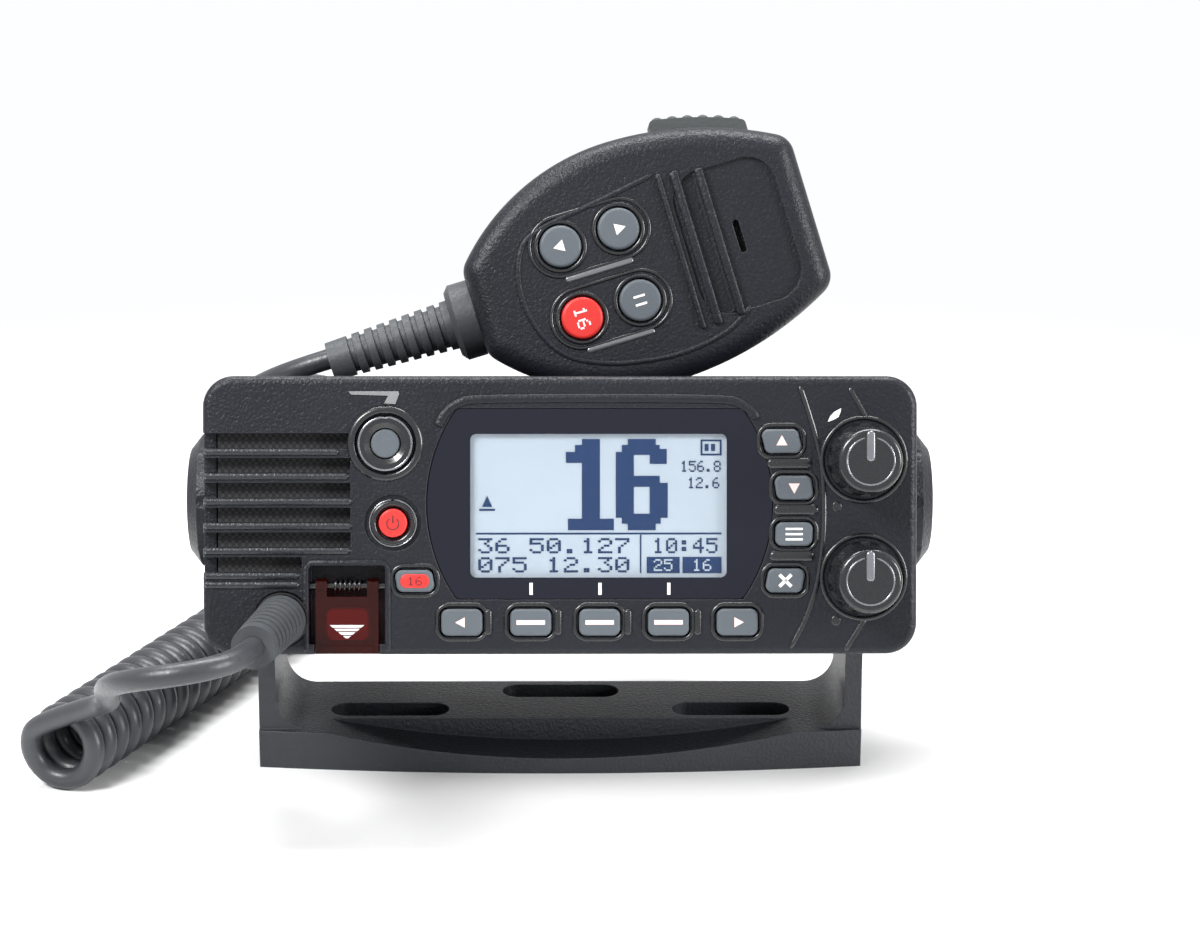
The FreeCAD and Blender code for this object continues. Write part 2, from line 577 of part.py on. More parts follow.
def knob(label, z):
    """A fluted knob with a blind bore for its shaft and a pointer groove."""
    low, high = "-knob_lift", "(-knob_lift - knob_high)"
    made = turned(label, FACE + " * " + spot("knob_x", "0", z), [
        ("shaft_round + shaft_gap", low), ("knob_round", low), ("knob_round", low + " - 1.4"),
        ("knob_tip", high), ("0", high), ("0", "-shaft_reach - 0.4"),
        ("shaft_round + shaft_gap", "-shaft_reach - 0.4")])
    soften(made, "1", rim(made.Tip.Shape, "Y", number(high)))
    drawing = sketch(made, "XZ", "knob_lift + 2")
    disc(drawing, "0", "knob_round + flute_round * 0.42", "flute_round")
    flute = pocket(made, drawing, "knob_high", True)
    repeat(made, flute, drawing, "knob_flutes")
    cut(made, high, "0.6", lambda s: box(s, "-0.35", "knob_tip * 0.3", "0.35", "knob_tip - 0.4"))


def distress():
    made = slab("distress_cover", FACE, "0.2", "0.2 + cover_thick", lambda s: draw(s, [
        ("-bay_x - cover_wide / 2", "-panel_high / 2 + 0.3"), ("-bay_x + cover_wide / 2", "-panel_high / 2 + 0.3"),
        ("-bay_x + cover_wide / 2", HINGE_Z + " + 1"), ("-bay_x + cover_wide / 2 - 2.4", HINGE_Z + " + 1"),
        ("-bay_x + cover_wide / 2 - 2.4", HINGE_Z + " - 2.2"), ("-bay_x - cover_wide / 2 + 2.4", HINGE_Z + " - 2.2"),
        ("-bay_x - cover_wide / 2 + 2.4", HINGE_Z + " + 1"), ("-bay_x - cover_wide / 2", HINGE_Z + " + 1")]))
    for side in ("-bay_x - cover_wide / 2", "-bay_x + cover_wide / 2 - 2.4"):
        drawing = sketch(made, "YZ", side)
        disc(drawing, "hinge_sink + 1.1", HINGE_Z, "hinge_round")
        pad(made, drawing, "2.4")
    drawing = sketch(made, "YZ", "-bay_x - bay_wide / 2")
    disc(drawing, "hinge_sink + 1.1", HINGE_Z, "pin_round + pin_gap")
    pocket(made, drawing, "bay_wide", True)
    drawing = sketch(made, "XZ", "0.5")
    box(drawing, "-bay_x - cover_wide / 2 + 1", "-panel_high / 2 + 0.3", "-bay_x + cover_wide / 2 - 1", "-panel_high / 2 + 1.9")
    pad(made, drawing, "1", True)
    made = body("cover_pin", FACE)
    drawing = sketch(made, "YZ", BAY_LEFT)
    disc(drawing, "hinge_sink + 1.1", HINGE_Z, "pin_round")
    pad(made, drawing, "bay_wide")
    made = slab("distress_button", FACE, "cover_thick + 0.7", "bay_deep + 2.8", lambda s: round_box(
        s, "-bay_x - alarm_wide / 2", "%s - alarm_drop - alarm_high / 2" % BAY_TOP,
        "-bay_x + alarm_wide / 2", "%s - alarm_drop + alarm_high / 2" % BAY_TOP, "key_corner"))
    soften(made, "0.6", rim(made.Tip.Shape, "Y", number("cover_thick + 0.7")))
    wire, turn, turns = number("spring_wire"), number("spring_round"), number("spring_turns")
    edges, start, way, _, _ = helix(turns, turn, wire + 0.5, wire, 0)
    feature("cover_spring", tube(edges, wire / 2, start, way), FACE + " * " + spot(
        "-bay_x + spring_turns * (spring_wire + 0.5) / 2", "hinge_sink + 1.1", HINGE_Z, "0; 0; 1", "90"))


BOOT = (FACE + " * " + spot("-gland_x", "-2.1", "-gland_z", "0; 0; 1", "-boot_swing")
        + " * " + spot("0", "0", "0", angle="boot_droop"))


def gland():
    turned("cord_gland", FACE + " * " + spot("-gland_x", "0", "-gland_z"), [
        ("cord_round + 0.3", "-1.2"), ("gland_round", "-1.2"), ("gland_round", "1.4"), ("gland_tube", "1.4"),
        ("gland_tube", "board_depth - 1"), ("cord_round + 0.3", "board_depth - 1")])
    outline = [("0", "0"), ("boot_root", "0")]
    pitch = "((boot_long - 3) / boot_ribs)"
    for rib in range(int(number("boot_ribs"))):
        for along, sink in ((0.62, 0), (0.66, 0.6), (0.96, 0.6), (1, 0)):
            share = "(%s * %g / boot_long)" % (pitch, rib + along)
            outline.append(("boot_root + (boot_tip - boot_root) * %s - %g" % (share, sink), "-%s * %g" % (pitch, rib + along)))
    outline += [("boot_tip", "-boot_long"), ("0", "-boot_long")]
    return turned("radio_boot", BOOT, outline)


def rear_case():
    half, tall = "(case_wide / 2)", "(case_high / 2)"
    front = "(panel_deep + seal_thick)"
    back = "(panel_deep + case_deep)"
    wide, high = "(panel_wide / 2 - flange_inset)", "(panel_high / 2 - flange_inset)"

    def flange(inset):
        return lambda s: round_box(s, "-%s + %s" % (wide, inset), "-%s + %s" % (high, inset),
                                   "%s - %s" % (wide, inset), "%s - %s" % (high, inset), "panel_corner - 1.5")

    slab("case_seal", FACE, "panel_deep", front, flange("0"), [lambda s: round_box(
        s, "-%s + 11.4" % wide, "-%s + 8" % high, wide + " - 11.4", high + " - 8", "panel_corner - 2")]
         + [lambda s, x=x, z=z: disc(s, x, z, "screw_round + 0.3") for x, z in SCREWS])
    made = slab("rear_case", FACE, front, front + " + flange_thick", flange("0"))
    add(made, front + " + 1", back + " - " + front + " - 1", lambda s: round_box(
        s, "-" + half, "-" + tall, half, tall, "case_corner"))
    cut(made, front, back + " - " + front + " - case_wall", lambda s: round_box(
        s, "-%s + case_wall" % half, "-%s + case_wall" % tall, half + " - case_wall", tall + " - case_wall",
        "case_corner - 2"))
    for side in (-1, 1):
        drawing = sketch(made, "YZ", "%g * (case_wide / 2 - 1)" % side)
        disc(drawing, "pivot_back", "pivot_above", "ear_round")
        pad(made, drawing, "bracket_wide / 2 - arm_thick - ear_gap - case_wide / 2 + 1", side < 0)
        drawing = sketch(made, "YZ", "%g * (case_wide / 2 - case_wall + 0.5)" % side)
        disc(drawing, "pivot_back", "pivot_above", "stud_round + 3.5")
        pad(made, drawing, "8", side > 0)
        drawing = sketch(made, "YZ", "%g * bracket_wide / 2" % side)
        disc(drawing, "pivot_back", "pivot_above", "stud_round + stud_gap")
        pocket(made, drawing, "stud_long", side < 0)

    def holes(drawing):
        for x, z in SCREWS:
            disc(drawing, x, z, "screw_round + 0.25")

    cut(made, front + " - 1", "flange_thick + 2", holes)
    drawing = sketch(made, "XZ", "-(%s - 0.5)" % back)
    box(drawing, "-fin_step * (fin_count - 1) / 2 - fin_thick / 2", "fin_low",
        "-fin_step * (fin_count - 1) / 2 + fin_thick / 2", "fin_low + fin_high")
    fin = pad(made, drawing, "fin_deep + 0.5", True)
    row(made, fin, drawing, "fin_count", "fin_step", "H_Axis")

    def inlets(drawing):
        disc(drawing, "plug_x", "-plug_z", "plug_round - 2.4")
        for place in range(2):
            disc(drawing, "-grommet_x - grommet_step * %d" % place, "-plug_z", "grommet_round - 1.6")

    cut(made, back + " - case_wall - 1", "case_wall + 3", inlets)


def case_fittings():
    front = "(panel_deep + seal_thick)"
    shanks = []
    for index, (x, z) in enumerate(SCREWS):
        head = doc.addObject("Part::Cylinder", "Head%d" % index)
        shank = doc.addObject("Part::Cylinder", "Shank%d" % index)
        for item, radius, start, length in ((head, "screw_head", front + " + flange_thick", "1.8"),
                                            (shank, "screw_round", front + " + flange_thick - screw_long", "screw_long")):
            item.setExpression("Radius", bound(radius))
            item.setExpression("Height", bound(length))
            item.setExpression("Placement", bound(spot(x, start, z, "1; 0; 0", "-90")))
        joined = doc.addObject("Part::Fuse", "Screw%d" % index)
        joined.Base, joined.Tool = head, shank
        shanks.append(joined)
    group = doc.addObject("Part::Compound", "case_screws")
    group.Label = "case_screws"
    group.Links = shanks
    group.setExpression("Placement", bound(FACE))
    pieces.append(group)


def rear_fittings():
    back = "(panel_deep + case_deep)"
    made = slab("antenna_connector", FACE, back, back + " + 1.6", lambda s: round_box(
        s, "plug_x - plug_flange / 2", "-plug_z - plug_flange / 2 + 0.5", "plug_x + plug_flange / 2",
        "-plug_z + plug_flange / 2 - 0.5", "2"))
    add(made, back + " + 1", "plug_long + 0.6", lambda s: disc(s, "plug_x", "-plug_z", "plug_round"))
    add(made, back + " - case_wall", "case_wall + 1", lambda s: disc(s, "plug_x", "-plug_z", "plug_round - 2.5"))
    cut(made, back + " + 3.6", "plug_long", lambda s: disc(s, "plug_x", "-plug_z", "plug_round - 2"))
    grommets = []
    for index in range(2):
        parts = []
        sizes = (("grommet_round", "0.1", "6"), ("grommet_round - 1.8", "-case_wall - 0.5", "case_wall + 1"),
                 ("grommet_bore", "-case_wall - 1", "12"))
        for radius, start, length in sizes:
            item = doc.addObject("Part::Cylinder", "Ring%d_%d" % (index, len(parts)))
            item.setExpression("Radius", bound(radius))
            item.setExpression("Height", bound(length))
            item.setExpression("Placement", bound(spot(
                "-grommet_x - grommet_step * %d" % index, back + " + " + start, "-plug_z", "1; 0; 0", "-90")))
            parts.append(item)
        joined = doc.addObject("Part::Fuse", "Grommet%d" % index)
        joined.Base, joined.Tool = parts[0], parts[1]
        bored = doc.addObject("Part::Cut", "BoredGrommet%d" % index)
        bored.Base, bored.Tool = joined, parts[2]
        grommets.append(bored)
    group = doc.addObject("Part::Compound", "rear_grommets")
    group.Label = "rear_grommets"
    group.Links = grommets
    group.setExpression("Placement", bound(FACE))
    pieces.append(group)


def bracket():
    half = "(bracket_wide / 2)"
    bow_arc = "((bracket_wide^2 / 4 + foot_bow^2) / (2 * foot_bow))"
    made = body("bracket", WORLD)
    drawing = sketch(made, "XY")
    draw(drawing, [("-" + half, "-foot_front", bow_arc, 1), (half, "-foot_front"), (half, "foot_back"),
                   ("-" + half, "foot_back")])
    pad(made, drawing, "foot_high")
    for side in (-1, 1):
        drawing = sketch(made, "YZ", "%g * %s" % (side, half))
        draw(drawing, [("-foot_front", "0"), ("foot_back", "0"), ("arm_round", "foot_high + 14"),
                       ("arm_round", "pivot_height", "arm_round", 1), ("0", "pivot_height + arm_round", "arm_round", 1),
                       ("-arm_round", "pivot_height"), ("-arm_round", "foot_high + 14")])
        pad(made, drawing, "arm_thick", side > 0)
    inside = number(half) - number("arm_thick")
    soften(made, "foot_corner", lambda edge: abs(abs(edge.CenterOfMass.x) - inside) < 0.01
           and abs(edge.CenterOfMass.z - number("foot_high")) < 0.01 and edge.BoundBox.ZLength < 0.01)
    dip_arc = "((scoop_wide^2 / 4 + (foot_high - foot_dip)^2) / (2 * (foot_high - foot_dip)))"
    drawing = sketch(made, "XZ", "foot_front + foot_bow + 1")
    draw(drawing, [("-scoop_wide / 2", "foot_high", dip_arc, 1), ("scoop_wide / 2", "foot_high"),
                   ("scoop_wide / 2", "foot_high + 1"), ("-scoop_wide / 2", "foot_high + 1")])
    pocket(made, drawing, "scoop_deep")
    drawing = sketch(made, "XY", "foot_high + 1")
    for x, y in (("-foot_slot_x", "-foot_slot_y"), ("foot_slot_x", "-foot_slot_y"), ("0", "rear_slot_y")):
        round_box(drawing, "%s - foot_slot_wide / 2" % x, "%s - foot_slot_high / 2" % y,
                  "%s + foot_slot_wide / 2" % x, "%s + foot_slot_high / 2" % y, "foot_slot_high * 0.49")
    pocket(made, drawing, "foot_high + 2")
    drawing = sketch(made, "YZ", "-bracket_wide")
    disc(drawing, "0", "pivot_height", "arm_bore")
    pocket(made, drawing, "2 * bracket_wide", True)


def clamp(side, name):
    """A washer and a fluted knob with its stud, on one side of the bracket."""
    turn = "-90" if side > 0 else "90"
    frame = RADIO + " * " + spot("0", "0", "0", "0; 0; 1", turn)
    near = "(bracket_wide / 2 + washer_gap)"
    turned(name + "_clamp_washer", frame, [
        ("stud_round + stud_gap", near), ("washer_round", near), ("washer_round", near + " + washer_thick"),
        ("stud_round + stud_gap", near + " + washer_thick")])
    low = "(%s + washer_thick + washer_gap)" % near
    made = turned(name + "_clamp_knob", frame, [
        ("0", "bracket_wide / 2 - stud_long + 1"), ("stud_round", "bracket_wide / 2 - stud_long + 1"),
        ("stud_round", low), ("clamp_round - 0.8", low), ("clamp_round", low + " + 2"),
        ("clamp_round - 1.4", low + " + clamp_thick - 3"), ("clamp_round - 4.5", low + " + clamp_thick - 0.6"),
        ("clamp_round - 9", low + " + clamp_thick"), ("0", low + " + clamp_thick")])
    drawing = sketch(made, "XZ", "-(%s + 3)" % low)
    disc(drawing, "0", "clamp_round + 1.6", "3.2")
    flute = pocket(made, drawing, "clamp_thick")
    repeat(made, flute, drawing, "clamp_flutes")


# Microphone

MIC_KEYS = {
    "mic_key_down": ("-mic_key_x - mic_key_step", "mic_key_z"), "mic_key_up": ("-mic_key_x + mic_key_step", "mic_key_z"),
    "mic_key_channel": ("-mic_key_x - mic_key_step", "-mic_key_z"), "mic_key_power": ("-mic_key_x + mic_key_step", "-mic_key_z"),
}
MIC_MIDDLE = "-0.7"
MIC_SCREWS = [("-26", "-10"), ("-26", "10"), ("33", "-9"), ("33", "9")]


def ptt_hole(drawing):
    box(drawing, "ptt_left - ptt_gap", "mic_half * 0.62", "ptt_right + ptt_gap", "mic_half + 6")


def mic_shells():
    front = slab("mic_front_shell", MIC, "-mic_front", "-mic_seam", microphone("0"))
    soften(front, "5", lambda edge: abs(edge.BoundBox.YLength - number("mic_front - mic_seam")) < 1e-4
           and edge.BoundBox.XLength < 1e-4 and abs(edge.CenterOfMass.x) > 5)
    soften(front, "mic_edge", rim(front.Tip.Shape, "Y", number("-mic_front")))
    cut(front, "-mic_seam", "mic_front - mic_seam - mic_face", microphone("mic_wall"), back=True)

    def posts(drawing):
        for x, z in MIC_SCREWS:
            disc(drawing, x, z, "3")

    def threads(drawing):
        for x, z in MIC_SCREWS:
            disc(drawing, x, z, "1.25")

    add(front, "-mic_front + mic_face - 0.5", "mic_front - mic_face - mic_seam + 0.5", posts)
    cut(front, "-mic_seam", "7", threads, back=True)

    def key_holes(drawing):
        for x, z in MIC_KEYS.values():
            disc(drawing, x, z, "mic_key_round + key_gap")

    cut(front, "-mic_front - 1", "mic_face + 2", key_holes)
    cut(front, "-mic_front - 1", "2.1", lambda s: round_box(
        s, "mic_speaker_x - 10.9", "-17", "mic_speaker_x + 12.5", "15.5", "7"))
    for place in range(2):
        add(front, "-mic_front + 0.2", "mic_face - 0.4", lambda s: box(
            s, "mic_speaker_x - 10.2 + mic_slot_step * %d" % place, "-16.6",
            "mic_speaker_x - 10.2 + mic_slot_step * %d + mic_slot_wide" % place, "15.1"))
    cut(front, "-mic_front - 1", "mic_face + 2", lambda s: round_box(
        s, "mic_speaker_x + 0.5", "-4.7", "mic_speaker_x + 1.9", "2.7", "0.65"))
    cut(front, "-ptt_thick / 2 - ptt_gap", "ptt_thick", ptt_hole)
    rear = slab("mic_rear_shell", MIC, "mic_seam", "mic_back", microphone("0"))
    soften(rear, "5", lambda edge: abs(edge.BoundBox.YLength - number("mic_back - mic_seam")) < 1e-4
           and edge.BoundBox.XLength < 1e-4 and abs(edge.CenterOfMass.x) > 5)
    soften(rear, "mic_edge + 1", rim(rear.Tip.Shape, "Y", number("mic_back")))
    cut(rear, "mic_seam", "mic_back - mic_seam - mic_face", microphone("mic_wall"))
    add(rear, "mic_seam", "mic_back - mic_seam - 0.5", posts)

    def clear(drawing):
        for x, z in MIC_SCREWS:
            disc(drawing, x, z, "1.4")

    def heads(drawing):
        for x, z in MIC_SCREWS:
            disc(drawing, x, z, "2.5")

    cut(rear, "mic_seam - 1", "mic_back + 2", clear)
    cut(rear, "mic_back - 1.8", "3", heads)
    cut(rear, "0", "ptt_thick / 2 + ptt_gap", ptt_hole)
    seal = slab("mic_seal", MIC, "-mic_seam", "mic_seam", microphone("0.5"), [microphone("mic_wall - 0.2")])
    cut(seal, "-1", "2", ptt_hole)


def mic_inside():
    slab("mic_board", MIC, "1", "1 + board_thick", lambda s: box(s, "-20.5", "-14", "20", "14"))
    front = "(-mic_front + mic_face + 0.2)"
    turned("mic_speaker", MIC + " * " + spot("mic_speaker_x - 1", "0", MIC_MIDDLE), [
        ("0", front + " + 2"), ("mic_speaker_round - 3", front), ("mic_speaker_round - 1", front),
        ("mic_speaker_round - 1", front + " + 4"), ("6", front + " + 8"), ("0", front + " + 8")])
    screws = []
    for index, (x, z) in enumerate(MIC_SCREWS):
        parts = []
        for radius, start, length in (("2.3", "mic_back - 1.8", "1.6"), ("1.2", "-6", "mic_back + 5")):
            item = doc.addObject("Part::Cylinder", "MicScrew%d_%d" % (index, len(parts)))
            item.Radius = float(radius)
            item.setExpression("Height", bound(length))
            item.setExpression("Placement", bound(spot(x, start, z, "1; 0; 0", "-90")))
            parts.append(item)
        joined = doc.addObject("Part::Fuse", "MicScrew%d" % index)
        joined.Base, joined.Tool = parts
        screws.append(joined)
    group = doc.addObject("Part::Compound", "mic_screws")
    group.Label = "mic_screws"
    group.Links = screws
    group.setExpression("Placement", bound(MIC))
    pieces.append(group)


def mic_fittings():
    for label, (x, z) in MIC_KEYS.items():
        made = turned(label, MIC + " * " + spot(x, "-mic_front", z), [
            ("0", "-mic_key_proud"), ("mic_key_round", "-mic_key_proud"), ("mic_key_round", "mic_face + 0.6"),
            ("mic_key_round + 0.8", "mic_face + 0.6"), ("mic_key_round + 0.8", "mic_face + 1.6"),
            ("0", "mic_face + 1.6")])
        soften(made, "mic_key_proud * 0.7", rim(made.Tip.Shape, "Y", number("-mic_key_proud")))
    top = "(mic_half - %s + sqrt(%s^2 - %%s^2) + ptt_proud)" % (NOSE_ARC, NOSE_ARC)
    made = slab("ptt_button", MIC, "-ptt_thick / 2", "ptt_thick / 2", lambda s: draw(s, [
        ("ptt_left", "mic_half - ptt_deep"), ("ptt_right", "mic_half - ptt_deep - 2.5"),
        ("ptt_right", top % "ptt_right", NOSE_ARC + " + ptt_proud * 4", 1), ("ptt_left", top % "ptt_left")]))
    soften(made, "1.2", lambda edge: edge.CenterOfMass.z > number(top % "ptt_right") - 0.01
           and abs(edge.BoundBox.YLength) > 1)
    turned("mic_hanger_stud", MIC + " * " + spot("4", "mic_back", MIC_MIDDLE), [
        ("0", "0"), ("hang_neck", "0"), ("hang_neck", "hang_long"), ("hang_round", "hang_long"),
        ("hang_round", "hang_long + hang_thick"), ("0", "hang_long + hang_thick")])
    tail = MIC + " * " + spot("-mic_tail", "0", MIC_MIDDLE, "0; 0; 1", "90")
    turned("mic_collar", tail, [
        ("0", "0.05"), ("collar_round", "0.05"), ("collar_round", "collar_long - 1.2"),
        ("collar_round - 1.4", "collar_long"), ("0", "collar_long")])
    outline = [("0", "collar_long"), ("mic_boot_root", "collar_long")]
    pitch = "((mic_boot_long - 5) / 8)"
    for rib in range(8):
        for along, sink in ((0.55, 0), (0.6, 0.8), (0.95, 0.8), (1, 0)):
            share = "(%s * %g / mic_boot_long)" % (pitch, rib + along)
            outline.append(("mic_boot_root + (mic_boot_tip - mic_boot_root) * %s - %g" % (share, sink),
                            "collar_long + %s * %g" % (pitch, rib + along)))
    outline += [("mic_boot_tip", "collar_long + mic_boot_long"), ("0", "collar_long + mic_boot_long")]
    return turned("mic_boot", tail, outline)


# Cord

def route(points):
    """A tube along straight runs joined by arcs as large as the runs allow."""
    runs = [(b - a).Length for a, b in zip(points, points[1:])]
    edges, here, radii = [], points[0], []
    for index in range(1, len(points) - 1):
        arriving = (points[index] - points[index - 1]).normalize()
        leaving = (points[index + 1] - points[index]).normalize()
        half_turn = arriving.getAngle(leaving) / 2
        reach = 0.45 * min(runs[index - 1], runs[index])
        radii.append(reach / math.tan(half_turn))
        near = points[index] - arriving * reach
        far = points[index] + leaving * reach
        inward = (leaving - arriving).normalize()
        middle = points[index] + inward * (radii[-1] / math.cos(half_turn) - radii[-1])
        edges.append(Part.LineSegment(here, near).toShape())
        edges.append(Part.Arc(near, middle, far).toShape())
        here = far
    edges.append(Part.LineSegment(here, points[-1]).toShape())
    return edges, radii


def stretch(label, points):
    """A free stretch of the cord through its points."""
    edges, radii = route(points)
    radius = number("cord_round")
    made = tube(edges, radius, points[0], (points[1] - points[0]).normalize())
    length = sum(edge.Length for edge in edges)
    print("%s: length %.1f, least radius %.1f, volume by section %.4f" % (
        label, length, min(radii), made.Volume / (math.pi * radius ** 2 * length)))
    feature(label, made, WORLD)


COIL = spot("-110.7", "-30.5", "coil_round + 0.05", "0; 0; 1", "-23.3")
COIL_START = 115
FRONT_ROUTE = [(-67.7, -92.3, 53.4), (-75.4, -94.6, 52.8), (-83, -92.2, 51), (-89.2, -84.6, 47), (-92.6, -72, 40.6),
               (-94, -59, 34.2), (-95.6, -47.5, 28.7), (-98, -39.6, 24.9)]
REAR_ROUTE = [(-46.6, 99.6, 35.5), (-48.4, 95, 48), (-53, 85, 58.3), (-59.2, 71.3, 65.3), (-65.2, 55, 69.8),
              (-69.4, 38.5, 73), (-71, 25.5, 76), (-69.6, 16.2, 80)]


def cord(radio_boot, mic_boot):
    radius = number("cord_round")
    mean = number("coil_round - cord_round")
    pitch = 2 * radius + number("coil_gap")
    edges, start, start_way, stop, stop_way = helix(
        number("coil_turns"), mean, pitch, 2 * radius, COIL_START)
    made = tube(edges, radius, start, start_way)
    coil = feature("cord_coil", made, COIL)
    print("cord_coil: length %.1f, gap between turns %.2f" % (
        sum(edge.Length for edge in edges), pitch * math.cos(math.atan(pitch / (2 * math.pi * mean))) - 2 * radius))
    doc.recompute()

    def out(piece, where, way):
        return piece.Placement.multVec(where), piece.Placement.Rotation.multVec(way)

    tip, tip_way = out(radio_boot, Vector(0, -number("boot_long"), 0), Vector(0, -1, 0))
    entry, entry_way = out(coil, start, start_way)
    stretch("cord_front", [tip, tip + tip_way * 9] + [Vector(*p) for p in FRONT_ROUTE]
            + [entry - entry_way * 9, entry])
    leave, leave_way = out(coil, stop, stop_way)
    end, end_way = out(mic_boot, Vector(0, number("collar_long + mic_boot_long"), 0), Vector(0, 1, 0))
    stretch("cord_rear", [leave, leave + leave_way * 9] + [Vector(*p) for p in REAR_ROUTE]
            + [end + end_way * 9, end])


def build():
    bracket()
    front_panel()
    for label, sizes in KEYS.items():
        key(label, *sizes)
    power_button()
    display()
    boards()
    speaker()
    ring()
    for name, z in (("volume", "volume_z"), ("squelch", "-squelch_z")):
        encoder(name + "_encoder", z)
        knob(name + "_knob", z)
    distress()
    radio_boot = gland()
    rear_case()
    case_fittings()
    rear_fittings()
    clamp(-1, "left")
    clamp(1, "right")
    mic_shells()
    mic_inside()
    mic_boot = mic_fittings()
    cord(radio_boot, mic_boot)


def write():
    """Check every object, then write one file for each piece."""
    doc.recompute()
    for item in doc.Objects:
        if "Invalid" in item.State or "Error" in item.State:
            raise ValueError("%s is %s" % (item.Label, item.State))
    os.makedirs("parts", exist_ok=True)
    for piece in pieces:
        if piece.Shape.isNull() or not piece.Shape.isValid():
            raise ValueError(piece.Label + " has no valid shape")
    for piece in pieces:
        piece.Shape.exportStep("parts/" + piece.Label + ".step")
    print(len(pieces), "pieces")


build()
write()
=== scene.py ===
import json
import math
import bmesh
import bpy
from mathutils import Matrix, Vector


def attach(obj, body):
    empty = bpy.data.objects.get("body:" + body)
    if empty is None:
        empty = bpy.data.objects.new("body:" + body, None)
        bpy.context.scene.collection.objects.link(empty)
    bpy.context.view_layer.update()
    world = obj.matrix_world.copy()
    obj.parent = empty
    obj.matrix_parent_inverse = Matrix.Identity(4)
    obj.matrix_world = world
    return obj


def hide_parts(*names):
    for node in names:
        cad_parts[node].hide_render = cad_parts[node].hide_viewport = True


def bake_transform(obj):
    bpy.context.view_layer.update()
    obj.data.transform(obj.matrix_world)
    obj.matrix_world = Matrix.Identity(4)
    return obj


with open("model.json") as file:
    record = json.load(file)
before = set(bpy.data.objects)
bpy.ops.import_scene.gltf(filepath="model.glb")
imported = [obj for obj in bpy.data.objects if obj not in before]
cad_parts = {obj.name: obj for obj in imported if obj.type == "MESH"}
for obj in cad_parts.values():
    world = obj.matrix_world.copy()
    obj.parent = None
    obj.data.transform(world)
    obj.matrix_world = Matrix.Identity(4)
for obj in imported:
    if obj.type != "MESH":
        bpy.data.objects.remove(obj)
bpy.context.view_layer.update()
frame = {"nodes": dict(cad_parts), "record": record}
nodes = frame["nodes"]

# The CAD's own frames, in millimetres: FACE lies in the front panel, MIC in the microphone.
MM = Matrix.Scale(0.001, 4)
TILT = 16
LEAN = 17
PIVOT_HEIGHT = 0.058
FACE = (Matrix.Translation((0, 0, PIVOT_HEIGHT)) @ Matrix.Rotation(math.radians(-TILT), 4, "X")
        @ Matrix.Translation((0, -0.045, -0.0018)) @ MM)
MIC = FACE @ Matrix.Translation((17.9, 44.6, 54.816)) @ Matrix.Rotation(math.radians(-LEAN), 4, "Y")

# The photograph's scale on the panel, and the pixel at FACE's origin.
PIXELS_PER_MM = 4.77
ORIGIN_PIXEL = (560.5, 515.5)

# Places in FACE, as x and z.
RING = (-36.7, 15.1)
POWER = (-35.1, -1.55)
KNOB_X = 63.7
KNOB_Z = {"volume": 11.7, "squelch": -13}
CHANNEL_KEY = (-30.55, -13.7)
COVER_X = -44.8

# The screen's clear area in the window.
SCREEN_CENTRE = (8, 0, 2)
SCREEN_HALF_WIDE = 26.95
SCREEN_HALF_HIGH = 15.1
SCREEN_CORNER = 1.3

# Front and back of the printed marks, as y.
KEY_MARK = (-0.96, -0.8)
MIC_MARK = (-16.07, -15.9)

# Rows of keys on the microphone, as x and z in MIC.
MIC_KEY_X = (-16.2, -2.9)
MIC_KEY_Z = (8.2, -8.2)

# How far a plastic's grain stands out, in metres.
GRAIN_DEPTH = 0.00022

# A depth in FACE, either way, that the whole window lies within.
ANY_DEPTH = 50


# Materials.

def principled(name):
    made = bpy.data.materials.new(name)
    made.use_nodes = True
    tree = made.node_tree
    return made, tree, tree.nodes["Principled BSDF"]


def link(tree, source, out, target, into):
    tree.links.new(source.outputs[out], target.inputs[into])


def noise(tree, scale, detail=3, rough=0.55):
    where = tree.nodes.new("ShaderNodeTexCoord")
    made = tree.nodes.new("ShaderNodeTexNoise")
    made.inputs["Scale"].default_value = scale
    made.inputs["Detail"].default_value = detail
    made.inputs["Roughness"].default_value = rough
    link(tree, where, "Object", made, "Vector")
    return made


def span(tree, source, low, high, out="Fac"):
    made = tree.nodes.new("ShaderNodeMapRange")
    made.inputs["From Min"].default_value = 0.3
    made.inputs["From Max"].default_value = 0.7
    made.inputs["To Min"].default_value = low
    made.inputs["To Max"].default_value = high
    link(tree, source, out, made, "Value")
    return made


